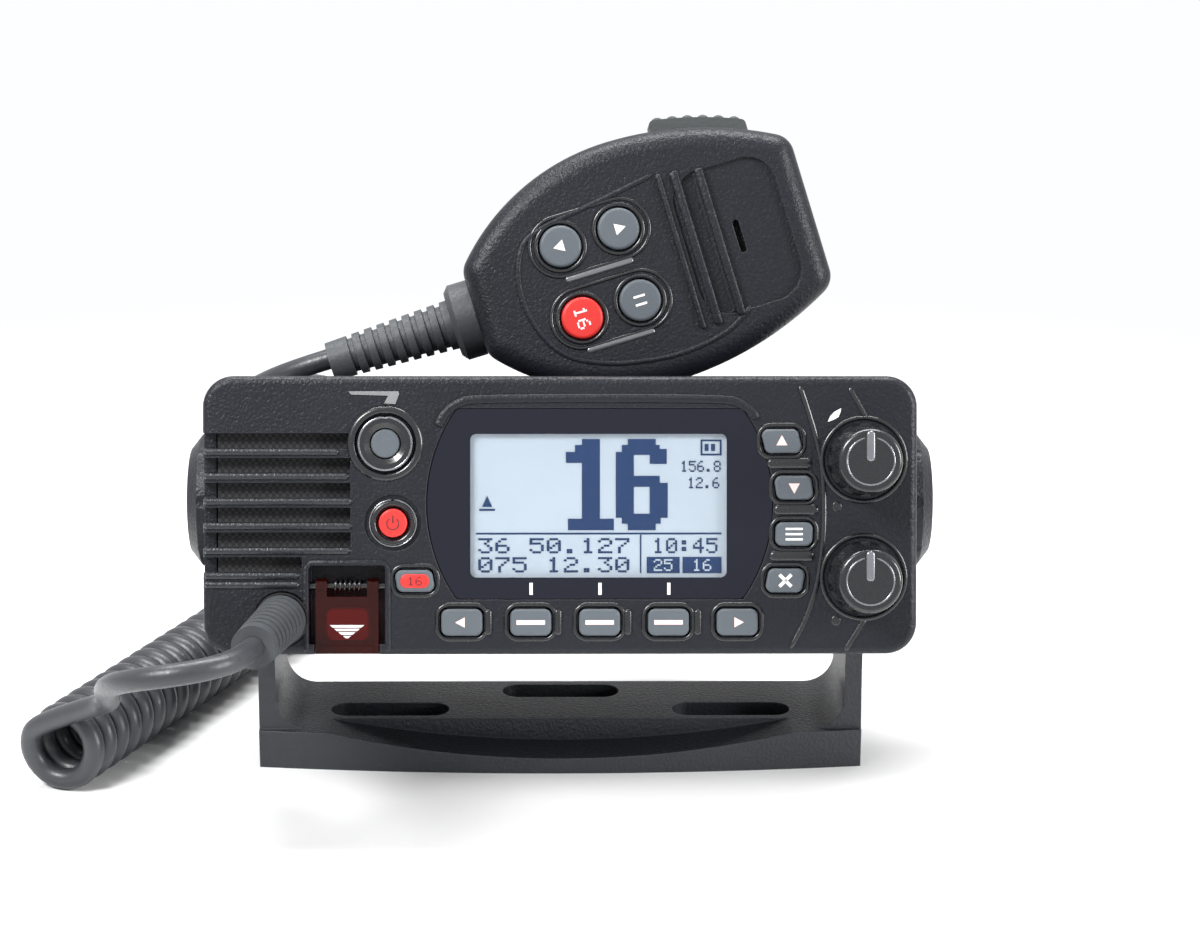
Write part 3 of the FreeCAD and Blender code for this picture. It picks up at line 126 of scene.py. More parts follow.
def plastic(name, colour, rough, grain=0.0, size=1900, spread=0.15, metal=0.0, coat=0.0, specular=0.5,
            edge_highlight=0.0, edge=0.00035):
    """A moulded surface: fine grain in relief, colour and gloss that vary a little, and edges made paler as a
    painted highlight.
    """
    made, tree, shader = principled(name)
    cloud = noise(tree, 38, 4)
    fine = noise(tree, size, 2)
    tint = tree.nodes.new("ShaderNodeHueSaturation")
    tint.inputs["Color"].default_value = (*colour, 1)
    link(tree, span(tree, cloud, 1 - spread, 1 + spread), "Result", tint, "Value")
    last = tint
    # Painted highlight: where the bevelled normal turns away from the flat one, the colour is mixed towards a
    # paler one.
    if edge_highlight:
        bevel = tree.nodes.new("ShaderNodeBevel")
        bevel.samples = 4
        bevel.inputs["Radius"].default_value = edge
        flat = tree.nodes.new("ShaderNodeNewGeometry")
        dot = tree.nodes.new("ShaderNodeVectorMath")
        dot.operation = "DOT_PRODUCT"
        link(tree, bevel, "Normal", dot, 0)
        link(tree, flat, "Normal", dot, 1)
        highlight_share = tree.nodes.new("ShaderNodeMapRange")
        highlight_share.inputs["From Min"].default_value = 0.99
        highlight_share.inputs["From Max"].default_value = 0.8
        highlight_share.inputs["To Max"].default_value = edge_highlight
        link(tree, dot, "Value", highlight_share, "Value")
        pale = tree.nodes.new("ShaderNodeMixRGB")
        pale.inputs["Color2"].default_value = (*[min(1, c * 3 + 0.05) for c in colour], 1)
        link(tree, highlight_share, "Result", pale, "Fac")
        link(tree, tint, "Color", pale, "Color1")
        last = pale
    link(tree, last, "Color", shader, "Base Color")
    link(tree, span(tree, fine, rough - 0.06, rough + 0.08), "Result", shader, "Roughness")
    shader.inputs["Metallic"].default_value = metal
    shader.inputs["Coat Weight"].default_value = coat
    shader.inputs["Specular IOR Level"].default_value = specular
    if grain:
        bump = tree.nodes.new("ShaderNodeBump")
        bump.inputs["Strength"].default_value = grain
        bump.inputs["Distance"].default_value = GRAIN_DEPTH
        link(tree, fine, "Fac", bump, "Height")
        if edge_highlight:
            link(tree, bevel, "Normal", bump, "Normal")
        link(tree, bump, "Normal", shader, "Normal")
    return made


def window_paint():
    """Black gloss with a clear screen area, found by its place in the face's frame."""
    made, tree, shader = principled("window_gloss")
    shader.inputs["Base Color"].default_value = (0.006, 0.007, 0.014, 1)
    shader.inputs["Specular IOR Level"].default_value = 0.3
    dust = noise(tree, 90, 5)
    link(tree, span(tree, dust, 0.06, 0.16), "Result", shader, "Roughness")
    where = tree.nodes.new("ShaderNodeTexCoord")
    to_face = tree.nodes.new("ShaderNodeMapping")
    to_face.inputs["Rotation"].default_value = (math.radians(TILT), 0, 0)
    to_face.inputs["Scale"].default_value = (1000, 1000, 1000)
    to_face.inputs["Location"].default_value = FACE.inverted().translation
    link(tree, where, "Object", to_face, "Vector")
    centre = tree.nodes.new("ShaderNodeVectorMath")
    centre.operation = "SUBTRACT"
    centre.inputs[1].default_value = SCREEN_CENTRE
    link(tree, to_face, "Vector", centre, 0)
    fold = tree.nodes.new("ShaderNodeVectorMath")
    fold.operation = "ABSOLUTE"
    link(tree, centre, "Vector", fold, 0)
    inside = tree.nodes.new("ShaderNodeVectorMath")
    inside.operation = "SUBTRACT"
    inside.inputs[1].default_value = (SCREEN_HALF_WIDE - SCREEN_CORNER, ANY_DEPTH,
                                      SCREEN_HALF_HIGH - SCREEN_CORNER)
    link(tree, fold, "Vector", inside, 0)
    clamp = tree.nodes.new("ShaderNodeVectorMath")
    clamp.operation = "MAXIMUM"
    clamp.inputs[1].default_value = (0, 0, 0)
    link(tree, inside, "Vector", clamp, 0)
    far = tree.nodes.new("ShaderNodeVectorMath")
    far.operation = "LENGTH"
    link(tree, clamp, "Vector", far, 0)
    clear = tree.nodes.new("ShaderNodeMath")
    clear.operation = "LESS_THAN"
    clear.inputs[1].default_value = SCREEN_CORNER
    link(tree, far, "Value", clear, 0)
    glossy = tree.nodes.new("ShaderNodeBsdfGlossy")
    glossy.inputs["Roughness"].default_value = 0.04
    through = tree.nodes.new("ShaderNodeBsdfTransparent")
    pane = tree.nodes.new("ShaderNodeMixShader")
    pane.inputs["Fac"].default_value = 0.03
    link(tree, through, "BSDF", pane, 1)
    link(tree, glossy, "BSDF", pane, 2)
    both = tree.nodes.new("ShaderNodeMixShader")
    link(tree, clear, "Value", both, "Fac")
    link(tree, shader, "BSDF", both, 1)
    link(tree, pane, "Shader", both, 2)
    link(tree, both, "Shader", tree.nodes["Material Output"], "Surface")
    return made


def lit(name, colour, strength, rough=0.4):
    """A surface that also glows a little, such as a backlit screen."""
    made, tree, shader = principled(name)
    tint = tree.nodes.new("ShaderNodeHueSaturation")
    tint.inputs["Color"].default_value = (*colour, 1)
    link(tree, span(tree, noise(tree, 60, 2), 0.97, 1.03), "Result", tint, "Value")
    link(tree, tint, "Color", shader, "Base Color")
    link(tree, tint, "Color", shader, "Emission Color")
    shader.inputs["Emission Strength"].default_value = strength
    shader.inputs["Roughness"].default_value = rough
    return made


def clear_red():
    """Dark red plastic that lets some light through."""
    made, tree, shader = principled("cover_red")
    tint = tree.nodes.new("ShaderNodeHueSaturation")
    tint.inputs["Color"].default_value = (0.05, 0.006, 0.004, 1)
    link(tree, span(tree, noise(tree, 120, 2), 0.9, 1.1), "Result", tint, "Value")
    link(tree, tint, "Color", shader, "Base Color")
    shader.inputs["Roughness"].default_value = 0.08
    shader.inputs["Coat Weight"].default_value = 0.5
    through = tree.nodes.new("ShaderNodeBsdfTransparent")
    through.inputs["Color"].default_value = (0.66, 0.11, 0.05, 1)
    both = tree.nodes.new("ShaderNodeMixShader")
    both.inputs["Fac"].default_value = 0.3
    link(tree, through, "BSDF", both, 1)
    link(tree, shader, "BSDF", both, 2)
    link(tree, both, "Shader", tree.nodes["Material Output"], "Surface")
    return made


def board_paint():
    """A green circuit board with small cells."""
    made, tree, shader = principled("board")
    cells = tree.nodes.new("ShaderNodeTexVoronoi")
    cells.distance = "MANHATTAN"
    cells.inputs["Scale"].default_value = 450
    where = tree.nodes.new("ShaderNodeTexCoord")
    link(tree, where, "Object", cells, "Vector")
    ramp = tree.nodes.new("ShaderNodeValToRGB")
    ramp.color_ramp.elements[0].color = (0.03, 0.16, 0.07, 1)
    ramp.color_ramp.elements[1].color = (0.06, 0.28, 0.12, 1)
    link(tree, cells, "Distance", ramp, "Fac")
    link(tree, ramp, "Color", shader, "Base Color")
    shader.inputs["Roughness"].default_value = 0.35
    return made


def mesh_cloth():
    """The dark woven cloth in front of a speaker."""
    made, tree, shader = principled("mesh")
    where = tree.nodes.new("ShaderNodeTexCoord")
    weave = tree.nodes.new("ShaderNodeTexChecker")
    weave.inputs["Scale"].default_value = 1400
    weave.inputs["Color1"].default_value = (0.012, 0.012, 0.013, 1)
    weave.inputs["Color2"].default_value = (0.035, 0.035, 0.038, 1)
    link(tree, where, "Object", weave, "Vector")
    link(tree, weave, "Color", shader, "Base Color")
    bump = tree.nodes.new("ShaderNodeBump")
    bump.inputs["Distance"].default_value = 0.0002
    link(tree, weave, "Fac", bump, "Height")
    link(tree, bump, "Normal", shader, "Normal")
    shader.inputs["Roughness"].default_value = 0.9
    return made


PAINT = {
    "case_plastic": plastic("case_plastic", (0.0080, 0.0090, 0.0130), 0.38, 0.9, 1500, edge_highlight=0.6,
                            specular=0.26),
    # The bracket's plastic is paler than the case's. This is painted light, for the stronger light that falls
    # on the bracket.
    "bracket_lit_plastic": plastic("bracket_lit_plastic", (0.022, 0.024, 0.029), 0.42, 1.0, 1500, edge_highlight=0.5,
                               specular=0.4),
    "case_metal": plastic("case_metal", (0.011, 0.0115, 0.014), 0.38, 0.5, 2600, edge_highlight=0.3, specular=0.4),
    "black_rubber": plastic("black_rubber", (0.046, 0.050, 0.055), 0.5, 0.35, 1300, specular=0.4),
    "cord_skin": plastic("cord_skin", (0.030, 0.032, 0.037), 0.36, 0.2, 1500, 0.12, specular=0.45),
    "steel": plastic("steel", (0.62, 0.62, 0.60), 0.28, 0.08, 900, 0.06, metal=1.0),
    "window_gloss": window_paint(),
    "screen": lit("screen", (0.29, 0.345, 0.40), 0.2, 0.7),
    "frame_white": plastic("frame_white", (0.75, 0.75, 0.74), 0.5, 0.1),
    "board": board_paint(),
    "mesh": mesh_cloth(),
    "key_grey": plastic("key_grey", (0.075, 0.088, 0.102), 0.5, 0.2, 2400, 0.08, edge_highlight=0.2),
    "key_red": plastic("key_red", (0.56, 0.022, 0.018), 0.42, 0.15, 2400, 0.08, edge_highlight=0.15),
    "alarm_orange": plastic("alarm_orange", (0.85, 0.12, 0.02), 0.3, 0.05, 2000, 0.08, coat=0.3),
    "cover_red": clear_red(),
    "nickel": plastic("nickel", (0.66, 0.65, 0.62), 0.2, 0.05, 1500, 0.06, metal=1.0),
    # Gloss black for knobs, trims, surrounds and ridges. On the knob bay's edge, grooves and dimples it is
    # painted shade.
    "gloss_black_and_shade": plastic("gloss_black_and_shade", (0.0045, 0.005, 0.0065), 0.24, 0.06, 1500, 0.1, coat=0.3),
    # The louvres are the case plastic made half again as pale and a little glossier. The paler colour is a
    # painted highlight on the bars.
    "louvre": plastic("louvre", (0.012, 0.0135, 0.018), 0.3, 0.5, 1500),
    "ptt_rubber": plastic("ptt_rubber", (0.040, 0.046, 0.046), 0.55, 0.4, 1500, 0.1),
    # A pale grey for a painted highlight.
    "highlight_grey": plastic("highlight_grey", (0.16, 0.165, 0.17), 0.5, 0.8, 1500, 0.2),
    "ink": plastic("ink", (0.001, 0.022, 0.085), 0.6, 0.05, 1500, 0.05, specular=0.05),
    "print_white": plastic("print_white", (0.80, 0.78, 0.78), 0.55, 0.05, 2500, 0.04),
    "print_pink": plastic("print_pink", (0.80, 0.58, 0.56), 0.55, 0.05, 2500, 0.04),
    "print_dark": plastic("print_dark", (0.09, 0.004, 0.008), 0.55, 0.05, 2500, 0.04),
    "rim_shine": plastic("rim_shine", (0.20, 0.205, 0.22), 0.18, 0.1, 1500, 0.1, metal=0.7),
}


def give(obj, name):
    obj.data.materials.clear()
    obj.data.materials.append(PAINT[name])


for subpart in frame["record"]["subparts"]:
    give(nodes[subpart["node"]], subpart["material_slot"])
OTHER_PAINT = {
    "gloss_black_and_shade": ("volume_knob", "squelch_knob", "ring_trim", "cord_gland", "cover_pin", "cover_spring"),
    # The bracket takes the paler plastic that paints in the stronger light on it.
    "key_grey": ("key_channel",), "bracket_lit_plastic": ("bracket",), "mesh": ("mic_speaker",),
    "ptt_rubber": ("ptt_button",)}
for paint, names in OTHER_PAINT.items():
    for name in names:
        give(nodes[name], paint)


# Mesh pieces.

def loft(label, parts, matrix, paint, body, sharp=35, open_ends=False):
    """Closed loops of equal length joined in order, with the first and last filled, for each part.
    """
    points, faces = [], []
    for loops in parts:
        count = len(loops[0])
        base = len(points)
        for loop in loops:
            points += [matrix @ Vector(p) for p in loop]
        for k in range(len(loops) - 1):
            for i in range(count):
                j = (i + 1) % count
                a, b = base + k * count, base + (k + 1) * count
                faces.append((a + i, a + j, b + j, b + i))
        if not open_ends:
            faces.append(tuple(base + i for i in reversed(range(count))))
            faces.append(tuple(base + (len(loops) - 1) * count + i for i in range(count)))
    mesh = bpy.data.meshes.new(label)
    mesh.from_pydata(points, [], faces)
    mesh.validate()
    obj = bpy.data.objects.new(label, mesh)
    bpy.context.scene.collection.objects.link(obj)
    fix = bmesh.new()
    fix.from_mesh(mesh)
    bmesh.ops.recalc_face_normals(fix, faces=fix.faces)
    fix.to_mesh(mesh)
    fix.free()
    mesh.polygons.foreach_set("use_smooth", [True] * len(mesh.polygons))
    mesh.set_sharp_from_angle(angle=math.radians(sharp))
    obj.data.materials.append(PAINT[paint])
    if body:
        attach(obj, body)
    return obj


def rounded(x, z, wide, high, radius, y, steps=6):
    """A rectangle with round corners, at one depth."""
    loop = []
    radius = min(radius, wide / 2, high / 2)
    for quarter, (sx, sz) in enumerate(((1, 1), (-1, 1), (-1, -1), (1, -1))):
        for step in range(steps + 1):
            angle = math.radians(90 * (quarter + step / steps))
            loop.append((x + sx * (wide / 2 - radius) + radius * math.cos(angle), y,
                         z + sz * (high / 2 - radius) + radius * math.sin(angle)))
    return loop


def button(x, z, wide, high, radius, front, back, slope):
    """A low raised block with a sloped edge."""
    return [rounded(x, z, wide, high, radius, back),
            rounded(x, z, wide, high, radius, front + slope * 0.7),
            rounded(x, z, wide - slope, high - slope, radius, front + slope * 0.2),
            rounded(x, z, wide - 2 * slope, high - 2 * slope, radius, front)]


def collar(x, z, wide, high, radius, inner, outer, front, back):
    """A low ring round an opening, rounded over."""
    rise = (outer - inner) * 0.3
    section = [(outer, back), (outer, front + rise), (outer - rise * 0.5, front + rise * 0.3),
               (outer - rise * 1.2, front), (inner + rise * 1.2, front),
               (inner + rise * 0.5, front + rise * 0.3), (inner, front + rise), (inner, back)]
    loops = [rounded(x, z, wide + 2 * g, high + 2 * g, radius + g, y, 10) for g, y in section]
    return loops + [loops[0]]


def plate(outline, front, back):
    """A flat shape with this outline in x and z."""
    return [[(x, back, z) for x, z in outline], [(x, front, z) for x, z in outline]]


def at(px, py):
    """A place on the front panel by where it is seen in the photograph."""
    return (px - ORIGIN_PIXEL[0]) / PIXELS_PER_MM, (ORIGIN_PIXEL[1] - py) / PIXELS_PER_MM


def rod(points, radius, flat=1.0, sides=10):
    """Loops round a path in the face's plane, flattened in depth."""
    loops = []
    for i, p in enumerate(points):
        a, b = Vector(points[max(i - 1, 0)]), Vector(points[min(i + 1, len(points) - 1)])
        way = (b - a).normalized()
        side = Vector((way.z, 0, -way.x)).normalized()
        size = radius if 0 < i < len(points) - 1 else radius * 0.3
        loops.append([tuple(Vector(p) + side * size * math.cos(t) + Vector((0, flat * size * math.sin(t), 0)))
                      for t in [2 * math.pi * k / sides for k in range(sides)]])
    return loops


def smooth(points, steps=6):
    """Points on a smooth line through the given ones."""
    line = []
    pts = [points[0]] + list(points) + [points[-1]]
    for k in range(1, len(pts) - 2):
        p = [Vector(q) for q in pts[k - 1:k + 3]]
        for step in range(steps):
            t = step / steps
            line.append(0.5 * ((2 * p[1]) + (p[2] - p[0]) * t
                               + (2 * p[0] - 5 * p[1] + 4 * p[2] - p[3]) * t * t
                               + (3 * p[1] - p[0] - 3 * p[2] + p[3]) * t ** 3))
    line.append(Vector(points[-1]))
    return line


# The cord: one line from the radio's boot through the coil to the microphone's boot.

BOOT_TIP = Vector((-61.54, -77.32, 51.96))
BOOT_WAY = Vector((-0.1207, -0.9832, 0.1371))
FRONT_ROUTE = [(-67.7, -92.3, 53.4), (-75.4, -94.6, 52.8), (-83, -92.2, 51), (-89.2, -84.6, 47),
               (-92.6, -72, 40.6), (-94, -59, 34.2), (-95.6, -47.5, 28.7), (-98, -39.6, 24.9)]
REAR_ROUTE = [(-46.6, 99.6, 35.5), (-48.4, 95, 48), (-53, 85, 58.3), (-59.2, 71.3, 65.3), (-65.2, 55, 69.8),
              (-69.4, 38.5, 73), (-71, 25.5, 76), (-69.6, 16.2, 80)]
MIC_BOOT_TIP = Vector((-73, 0, 0))

# The cord's radius, its straight runs at boots and coil, and the coil's mean radius and pitch, in mm.
CORD_ROUND = 2.35
STRAIGHT = 9
LEAD_IN = 4.7
COIL_MEAN = 7.25
PITCH = 5.2
TURNS = 28
PER_TURN = 14
COIL = Matrix.Translation((-110.7, -30.5, 9.65)) @ Matrix.Rotation(math.radians(-23.3), 4, "Z")
BEGIN = math.radians(115)
WHOLE = 2 * math.pi * TURNS - BEGIN


def coil_point(angle, radius):
    return COIL @ Vector((radius * math.cos(BEGIN + angle), PITCH * angle / (2 * math.pi),
                          radius * math.sin(BEGIN + angle)))


def coil_way(angle):
    return (COIL.to_3x3() @ Vector((-COIL_MEAN * math.sin(BEGIN + angle), PITCH / (2 * math.pi),
                                    COIL_MEAN * math.cos(BEGIN + angle)))).normalized()


coil_start = coil_point(0, COIL_MEAN) - coil_way(0) * LEAD_IN
coil_stop = coil_point(WHOLE, COIL_MEAN) + coil_way(WHOLE) * LEAD_IN
mic_way = (MIC.to_3x3() @ Vector((-1, 0, 0))).normalized()
mic_end = MIC @ MIC_BOOT_TIP * 1000
control = [BOOT_TIP, BOOT_TIP + BOOT_WAY * STRAIGHT]
control += [Vector(p) for p in FRONT_ROUTE]
control += [coil_start - coil_way(0) * STRAIGHT, coil_start]
coil_steps = int(WHOLE / (2 * math.pi) * PER_TURN)
coil_control_radius = COIL_MEAN / math.cos(math.pi / PER_TURN)
for k in range(1, coil_steps):
    control.append(coil_point(WHOLE * k / coil_steps, coil_control_radius))
control += [coil_stop, coil_stop + coil_way(WHOLE) * STRAIGHT]
control += [Vector(p) for p in REAR_ROUTE]
control += [mic_end + mic_way * STRAIGHT, mic_end]


def centreline(points, resolution):
    """The points of a NURBS spline with these control points, in metres."""
    line = bpy.data.curves.new("line", "CURVE")
    line.dimensions = "3D"
    spline = line.splines.new("NURBS")
    spline.points.add(len(points) - 1)
    for knot, p in zip(spline.points, points):
        knot.co = (*(Vector(p) * 0.001), 1)
    spline.order_u = 3
    spline.use_endpoint_u = True
    spline.resolution_u = resolution
    holder = bpy.data.objects.new("line", line)
    bpy.context.scene.collection.objects.link(holder)
    bpy.context.view_layer.update()
    mesh = bpy.data.meshes.new_from_object(holder.evaluated_get(bpy.context.evaluated_depsgraph_get()))
    found = [v.co.copy() for v in mesh.vertices]
    bpy.data.objects.remove(holder)
    return found


def tube_loops(points, radius, sides=14):
    """Loops round a line with no twist."""
    way = (points[1] - points[0]).normalized()
    side = way.orthogonal().normalized()
    loops = []
    for i, p in enumerate(points):
        a, b = points[max(i - 1, 0)], points[min(i + 1, len(points) - 1)]
        new = (b - a).normalized()
        side = (way.rotation_difference(new) @ side).normalized()
        side = (side - new * side.dot(new)).normalized()
        way = new
        other = way.cross(side)
        loops.append([p + side * radius * math.cos(t) + other * radius * math.sin(t)
                      for t in [2 * math.pi * k / sides for k in range(sides)]])
    return loops


cord_line = centreline(control, 4)
split = max(i for i, p in enumerate(cord_line) if p.y > 0.062 and p.z > 0.055)
cord_loops = tube_loops(cord_line, CORD_ROUND * 0.001)


def cord_piece(label, first, last, replaced):
    """The cord from one point of its line to another, in place of these CAD nodes."""
    obj = loft(label, [cord_loops[first:last + 1]], Matrix.Identity(4), "cord_skin", None, 60)
    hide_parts(*replaced)
    return obj


cord_low = cord_piece("cord_curly", 0, split, ["cord_front", "cord_coil"])
cord_high = cord_piece("cord_upper", split, len(cord_line) - 1, ["cord_rear"])
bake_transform(cord_low)
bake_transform(cord_high)


# The screen's marks.

DIGITS = {
    "0": "01110 10001 10011 10101 11001 10001 01110", "1": "00100 01100 00100 00100 00100 00100 01110",
    "2": "01110 10001 00001 00110 01000 10000 11111", "3": "11111 00010 00100 00010 00001 10001 01110",
    "4": "00010 00110 01010 10010 11111 00010 00010", "5": "11111 10000 11110 00001 00001 10001 01110",
    "6": "00110 01000 10000 11110 10001 10001 01110", "7": "11111 00001 00010 00100 01000 01000 01000",
    "8": "01110 10001 10001 01110 10001 10001 01110", "9": "01110 10001 10001 01111 00001 00010 01100",
    ".": "00000 00000 00000 00000 00000 01100 01100", ":": "00000 01100 01100 00000 01100 01100 00000",
    " ": "00000 00000 00000 00000 00000 00000 00000"}
DOT_COLUMNS = 6
INK_FRONT = 1.30
INK_BACK = 1.41
INK_STEP = 0.006
INK_DEPTHS = 12


def square(left, low, right, high):
    return [(left, low), (right, low), (right, high), (left, high)]


def dots(text, left, top, dot, high=None):
    """Squares of a dot-matrix line of figures."""
    high = high or dot
    found = []
    for place, letter in enumerate(text):
        for row, bits in enumerate(DIGITS[letter].split()):
            for column, bit in enumerate(bits):
                if bit == "1":
                    x = left + (place * DOT_COLUMNS + column) * dot
                    z = top - row * high
                    found.append(square(x, z - high * 0.93, x + dot * 0.95, z))
    return found


def screen_box(px0, py0, px1, py1):
    """A rectangle by its corners in the photograph."""
    left, high = at(px0, py0)
    right, low = at(px1, py1)
    return square(left, low, right, high)


ink = [screen_box(582, 439, 600, 524), screen_box(575, 445, 584, 463), screen_box(566, 452, 576, 463),
       screen_box(568, 519, 614, 530.5), screen_box(616, 452, 634, 518), screen_box(622, 445, 660, 455),
       screen_box(628, 439, 656, 449), screen_box(650, 449, 667, 464), screen_box(629, 476, 660, 487),
       screen_box(650, 483, 668, 518), screen_box(622, 514, 661, 524), screen_box(628, 520, 656, 530.5),
       screen_box(476, 533, 722, 534.8), screen_box(640.2, 535, 641.6, 573.6),
       screen_box(701, 439.6, 722, 441.4), screen_box(701, 453.7, 722, 455.5),
       screen_box(701, 441, 702.8, 454), screen_box(720.2, 441, 722, 454), screen_box(705, 444, 709, 451),
       screen_box(711.5, 444, 715.5, 451), screen_box(479, 509, 495, 511),
       [at(482, 507), at(492, 507), at(487, 496)],
       screen_box(647, 557.4, 680, 573.6), screen_box(683, 557.4, 722, 573.6)]
ink += dots("36 50.127", *at(478, 538.5), 0.60, 0.46) + dots("075 12.30", *at(478, 557.6), 0.60, 0.46)
ink += dots("10:45", *at(653, 538.5), 0.47, 0.46)
ink += dots("156.8", *at(681, 461), 0.29, 0.33) + dots("12.6", *at(688, 477.6), 0.29, 0.33)
# Some marks cross, so each lies at another depth than the next ones in the list.
loft("screen_ink", [plate(o, INK_FRONT - INK_STEP * (i % INK_DEPTHS), INK_BACK) for i, o in enumerate(ink)],
     FACE, "ink", "radio")
pale = dots("25", *at(654, 559.6), 0.36, 0.36) + dots("16", *at(693, 559.6), 0.36, 0.36)
loft("screen_pale_figures", [plate(o, 1.21, 1.24) for o in pale], FACE, "screen", "radio")
ticks = [screen_box(px - 1.6, 583, px + 1.6, 595) for px in (531, 600, 669)]
loft("window_ticks", [plate(o, 0.04, 0.15) for o in ticks], FACE, "print_white", "radio")


# Relief and marks on the front panel.

KEYS = {
    "key_left": (-20.7, -22.4, 8.6, 5.6), "key_soft_left": (-6.25, -22.4, 8.6, 5.6),
    "key_soft_middle": (8.2, -22.4, 8.6, 5.6), "key_soft_right": (22.65, -22.4, 8.6, 5.6),
    "key_right": (37.1, -22.4, 8.6, 5.6), "key_up": (46.4, 15.6, 7.8, 5), "key_down": (49, 5.85, 7.8, 5),
    "key_menu": (49, -3.9, 7.8, 5), "key_clear": (47.18, -13.65, 7.8, 5),
    "key_channel": (*CHANNEL_KEY, 7.9, 4.6)}
loft("key_surrounds", [collar(*place, 1.7, 0.45, 1.35, -0.3, 0.15) for place in KEYS.values()], FACE,
     "gloss_black_and_shade", "radio", open_ends=True)
loft("side_ridges", [button(*at(px, py), 9.4, 2.1, 1.05, -0.7, 0.2, 0.45)
                     for px, py in ((789.8, 463.2), (796.5, 509.7), (792.3, 556.1))], FACE,
     "gloss_black_and_shade", "radio")
loft("low_ridges", [button(*at(px, 622.4), 1.5, 5.4, 0.75, -0.6, 0.2, 0.35) for px in (488, 558, 628, 698)],
     FACE, "gloss_black_and_shade", "radio")
brow = smooth([(-25.6, 0.1, 18.6), (-24.2, 0.1, 21.4), (-21.2, 0.1, 23.6), (-16, 0.1, 24.4), (8.3, 0.1, 24.6),
               (32, 0.1, 24.4), (37.4, 0.1, 23.6), (40.3, 0.1, 21.6), (41.0, 0.1, 20.3)])
loft("window_brow", [rod(brow, 1.0, 0.8)], FACE, "case_plastic", "radio")


def line_on_face(pixels, y=0.05):
    """A smooth line through places in the photograph."""
    return smooth([(at(*p)[0], y, at(*p)[1]) for p in pixels])


# Dark glossy tubes and discs along the knob bay's edge, grooves and dimples: painted shade where these
# grooves and hollows lie in shadow.
loft("bay_edge_shade", [rod(line_on_face([(800, 386), (808, 410), (816, 437), (822, 465), (824, 494), (824, 530),
                                    (821, 562), (816, 590), (806, 620), (791, 649)]), 0.55, 0.8)], FACE,
     "gloss_black_and_shade", "radio")
loft("bay_groove_shade", [rod(line_on_face([(850, 388), (859, 404), (868, 420)]), 0.5, 0.6),
                     rod(line_on_face([(866, 619), (857, 634), (846, 651)]), 0.6, 0.6)], FACE,
     "gloss_black_and_shade", "radio")
loft("bay_dimple_shade", [button(*at(px, py), 2.0, 2.2, 1.0, -0.12, 0.2, 0.2)
                     for px, py in ((837.6, 506.6), (836.8, 621))],
     FACE, "gloss_black_and_shade", "radio")
loft("knob_surrounds", [collar(KNOB_X, z, 16.0, 16.0, 8.0, 0.3, 1.3, -0.5, 0.2) for z in KNOB_Z.values()],
     FACE, "gloss_black_and_shade", "radio", open_ends=True)
wedge = [at(*p) for p in ((828, 422), (830.5, 416), (835, 411.5), (841.3, 408.3), (840.8, 412), (838.8, 417),
                          (834, 419.6))]
loft("volume_wedge", [plate(wedge, -0.05, 0.1)], FACE, "print_white", "radio")
# A pale grey plate along the raised lip above the grille: a painted highlight on the lip's edge.
lip_highlight = [at(*p) for p in ((349, 391.2), (398.6, 391.2), (399.5, 394), (395.5, 404), (384.3, 403.3),
                         (388.6, 395.6), (351.7, 394.6))]
loft("grille_lip_highlight", [plate(lip_highlight, -0.25, 0.1)], FACE, "highlight_grey", "radio")


def grille_bar(py, right):
    z = at(0, py)[1] - 0.4
    return rod([(-74.7, 0.1, z), (-74.2, -0.05, z), (right - 0.6, -0.05, z), (right, 0.1, z)], 0.75, 0.8)


# Louvre bars along the grille's slots, in paler plastic as a painted highlight on their top edges.
BARS = ((449.8, -46.2), (474.3, -44.2), (499.4, -43.6), (523.9, -43.6), (548.8, -44.0), (573.9, -54.6),
        (583, -54.6))
loft("grille_bars", [grille_bar(py, right) for py, right in BARS], FACE, "louvre", "radio")
loft("bay_frame", [rod([(-53.4, 0.1, -28.6), (-53.4, 0, -28.2), (-53.4, 0, -11.2), (-52.5, 0, -9.9),
                        (-37.0, 0, -9.9), (-36.2, 0, -11.2), (-36.2, 0, -28.2), (-36.2, 0.1, -28.6)],
                       0.65, 0.8)], FACE, "case_plastic", "radio")
loft("ring_surround", [collar(*RING, 11.8, 11.8, 5.9, 0.25, 2.1, -0.55, 0.2)], FACE, "gloss_black_and_shade", "radio",
     open_ends=True)
loft("power_surround", [collar(*POWER, 6.4, 6.4, 3.2, 0.3, 1.7, -0.55, 0.2)], FACE, "gloss_black_and_shade", "radio",
     open_ends=True)


def ring_line(x, z, radius, y, tube, start=0, stop=360, steps=40):
    """Loops round an arc, from one angle to another, clockwise from the top."""
    path = [(x + radius * math.sin(math.radians(a)), y, z + radius * math.cos(math.radians(a)))
            for a in [start + (stop - start) * k / steps for k in range(steps + 1)]]
    return rod(path, tube, 0.8)


loft("shiny_rims", [ring_line(*RING, 5.55, -0.75, 0.22, 3, 357), ring_line(*POWER, 4.9, -0.5, 0.12, 3, 357)],
     FACE, "rim_shine", "radio")
for name, z in KNOB_Z.items():
    loft(name + "_pointer", [button(KNOB_X, z + 3.1, 1.7, 6.2, 0.8, -14.15, -13.7, 0.3),
                             ring_line(KNOB_X, z, 4.9, -13.8, 0.18, 14, 346)], FACE, "rim_shine",
         name + "_body")


def triangle(x, z, size, way):
    """An arrow head that points this way."""
    turn = {"up": 0, "right": 90, "down": 180, "left": 270}[way]
    corners = []
    for a, r in ((0, 1.1), (120, 1.0), (240, 1.0)):
        t = math.radians(a + turn)
        corners.append((x + size * r * math.sin(t), z + size * r * math.cos(t)))
    return corners


def mark(label, outlines, body, paint="print_white", depths=KEY_MARK, matrix=FACE):
    """Thin printed shapes on one body."""
    loft(label, [plate(o, *depths) for o in outlines], matrix, paint, body)


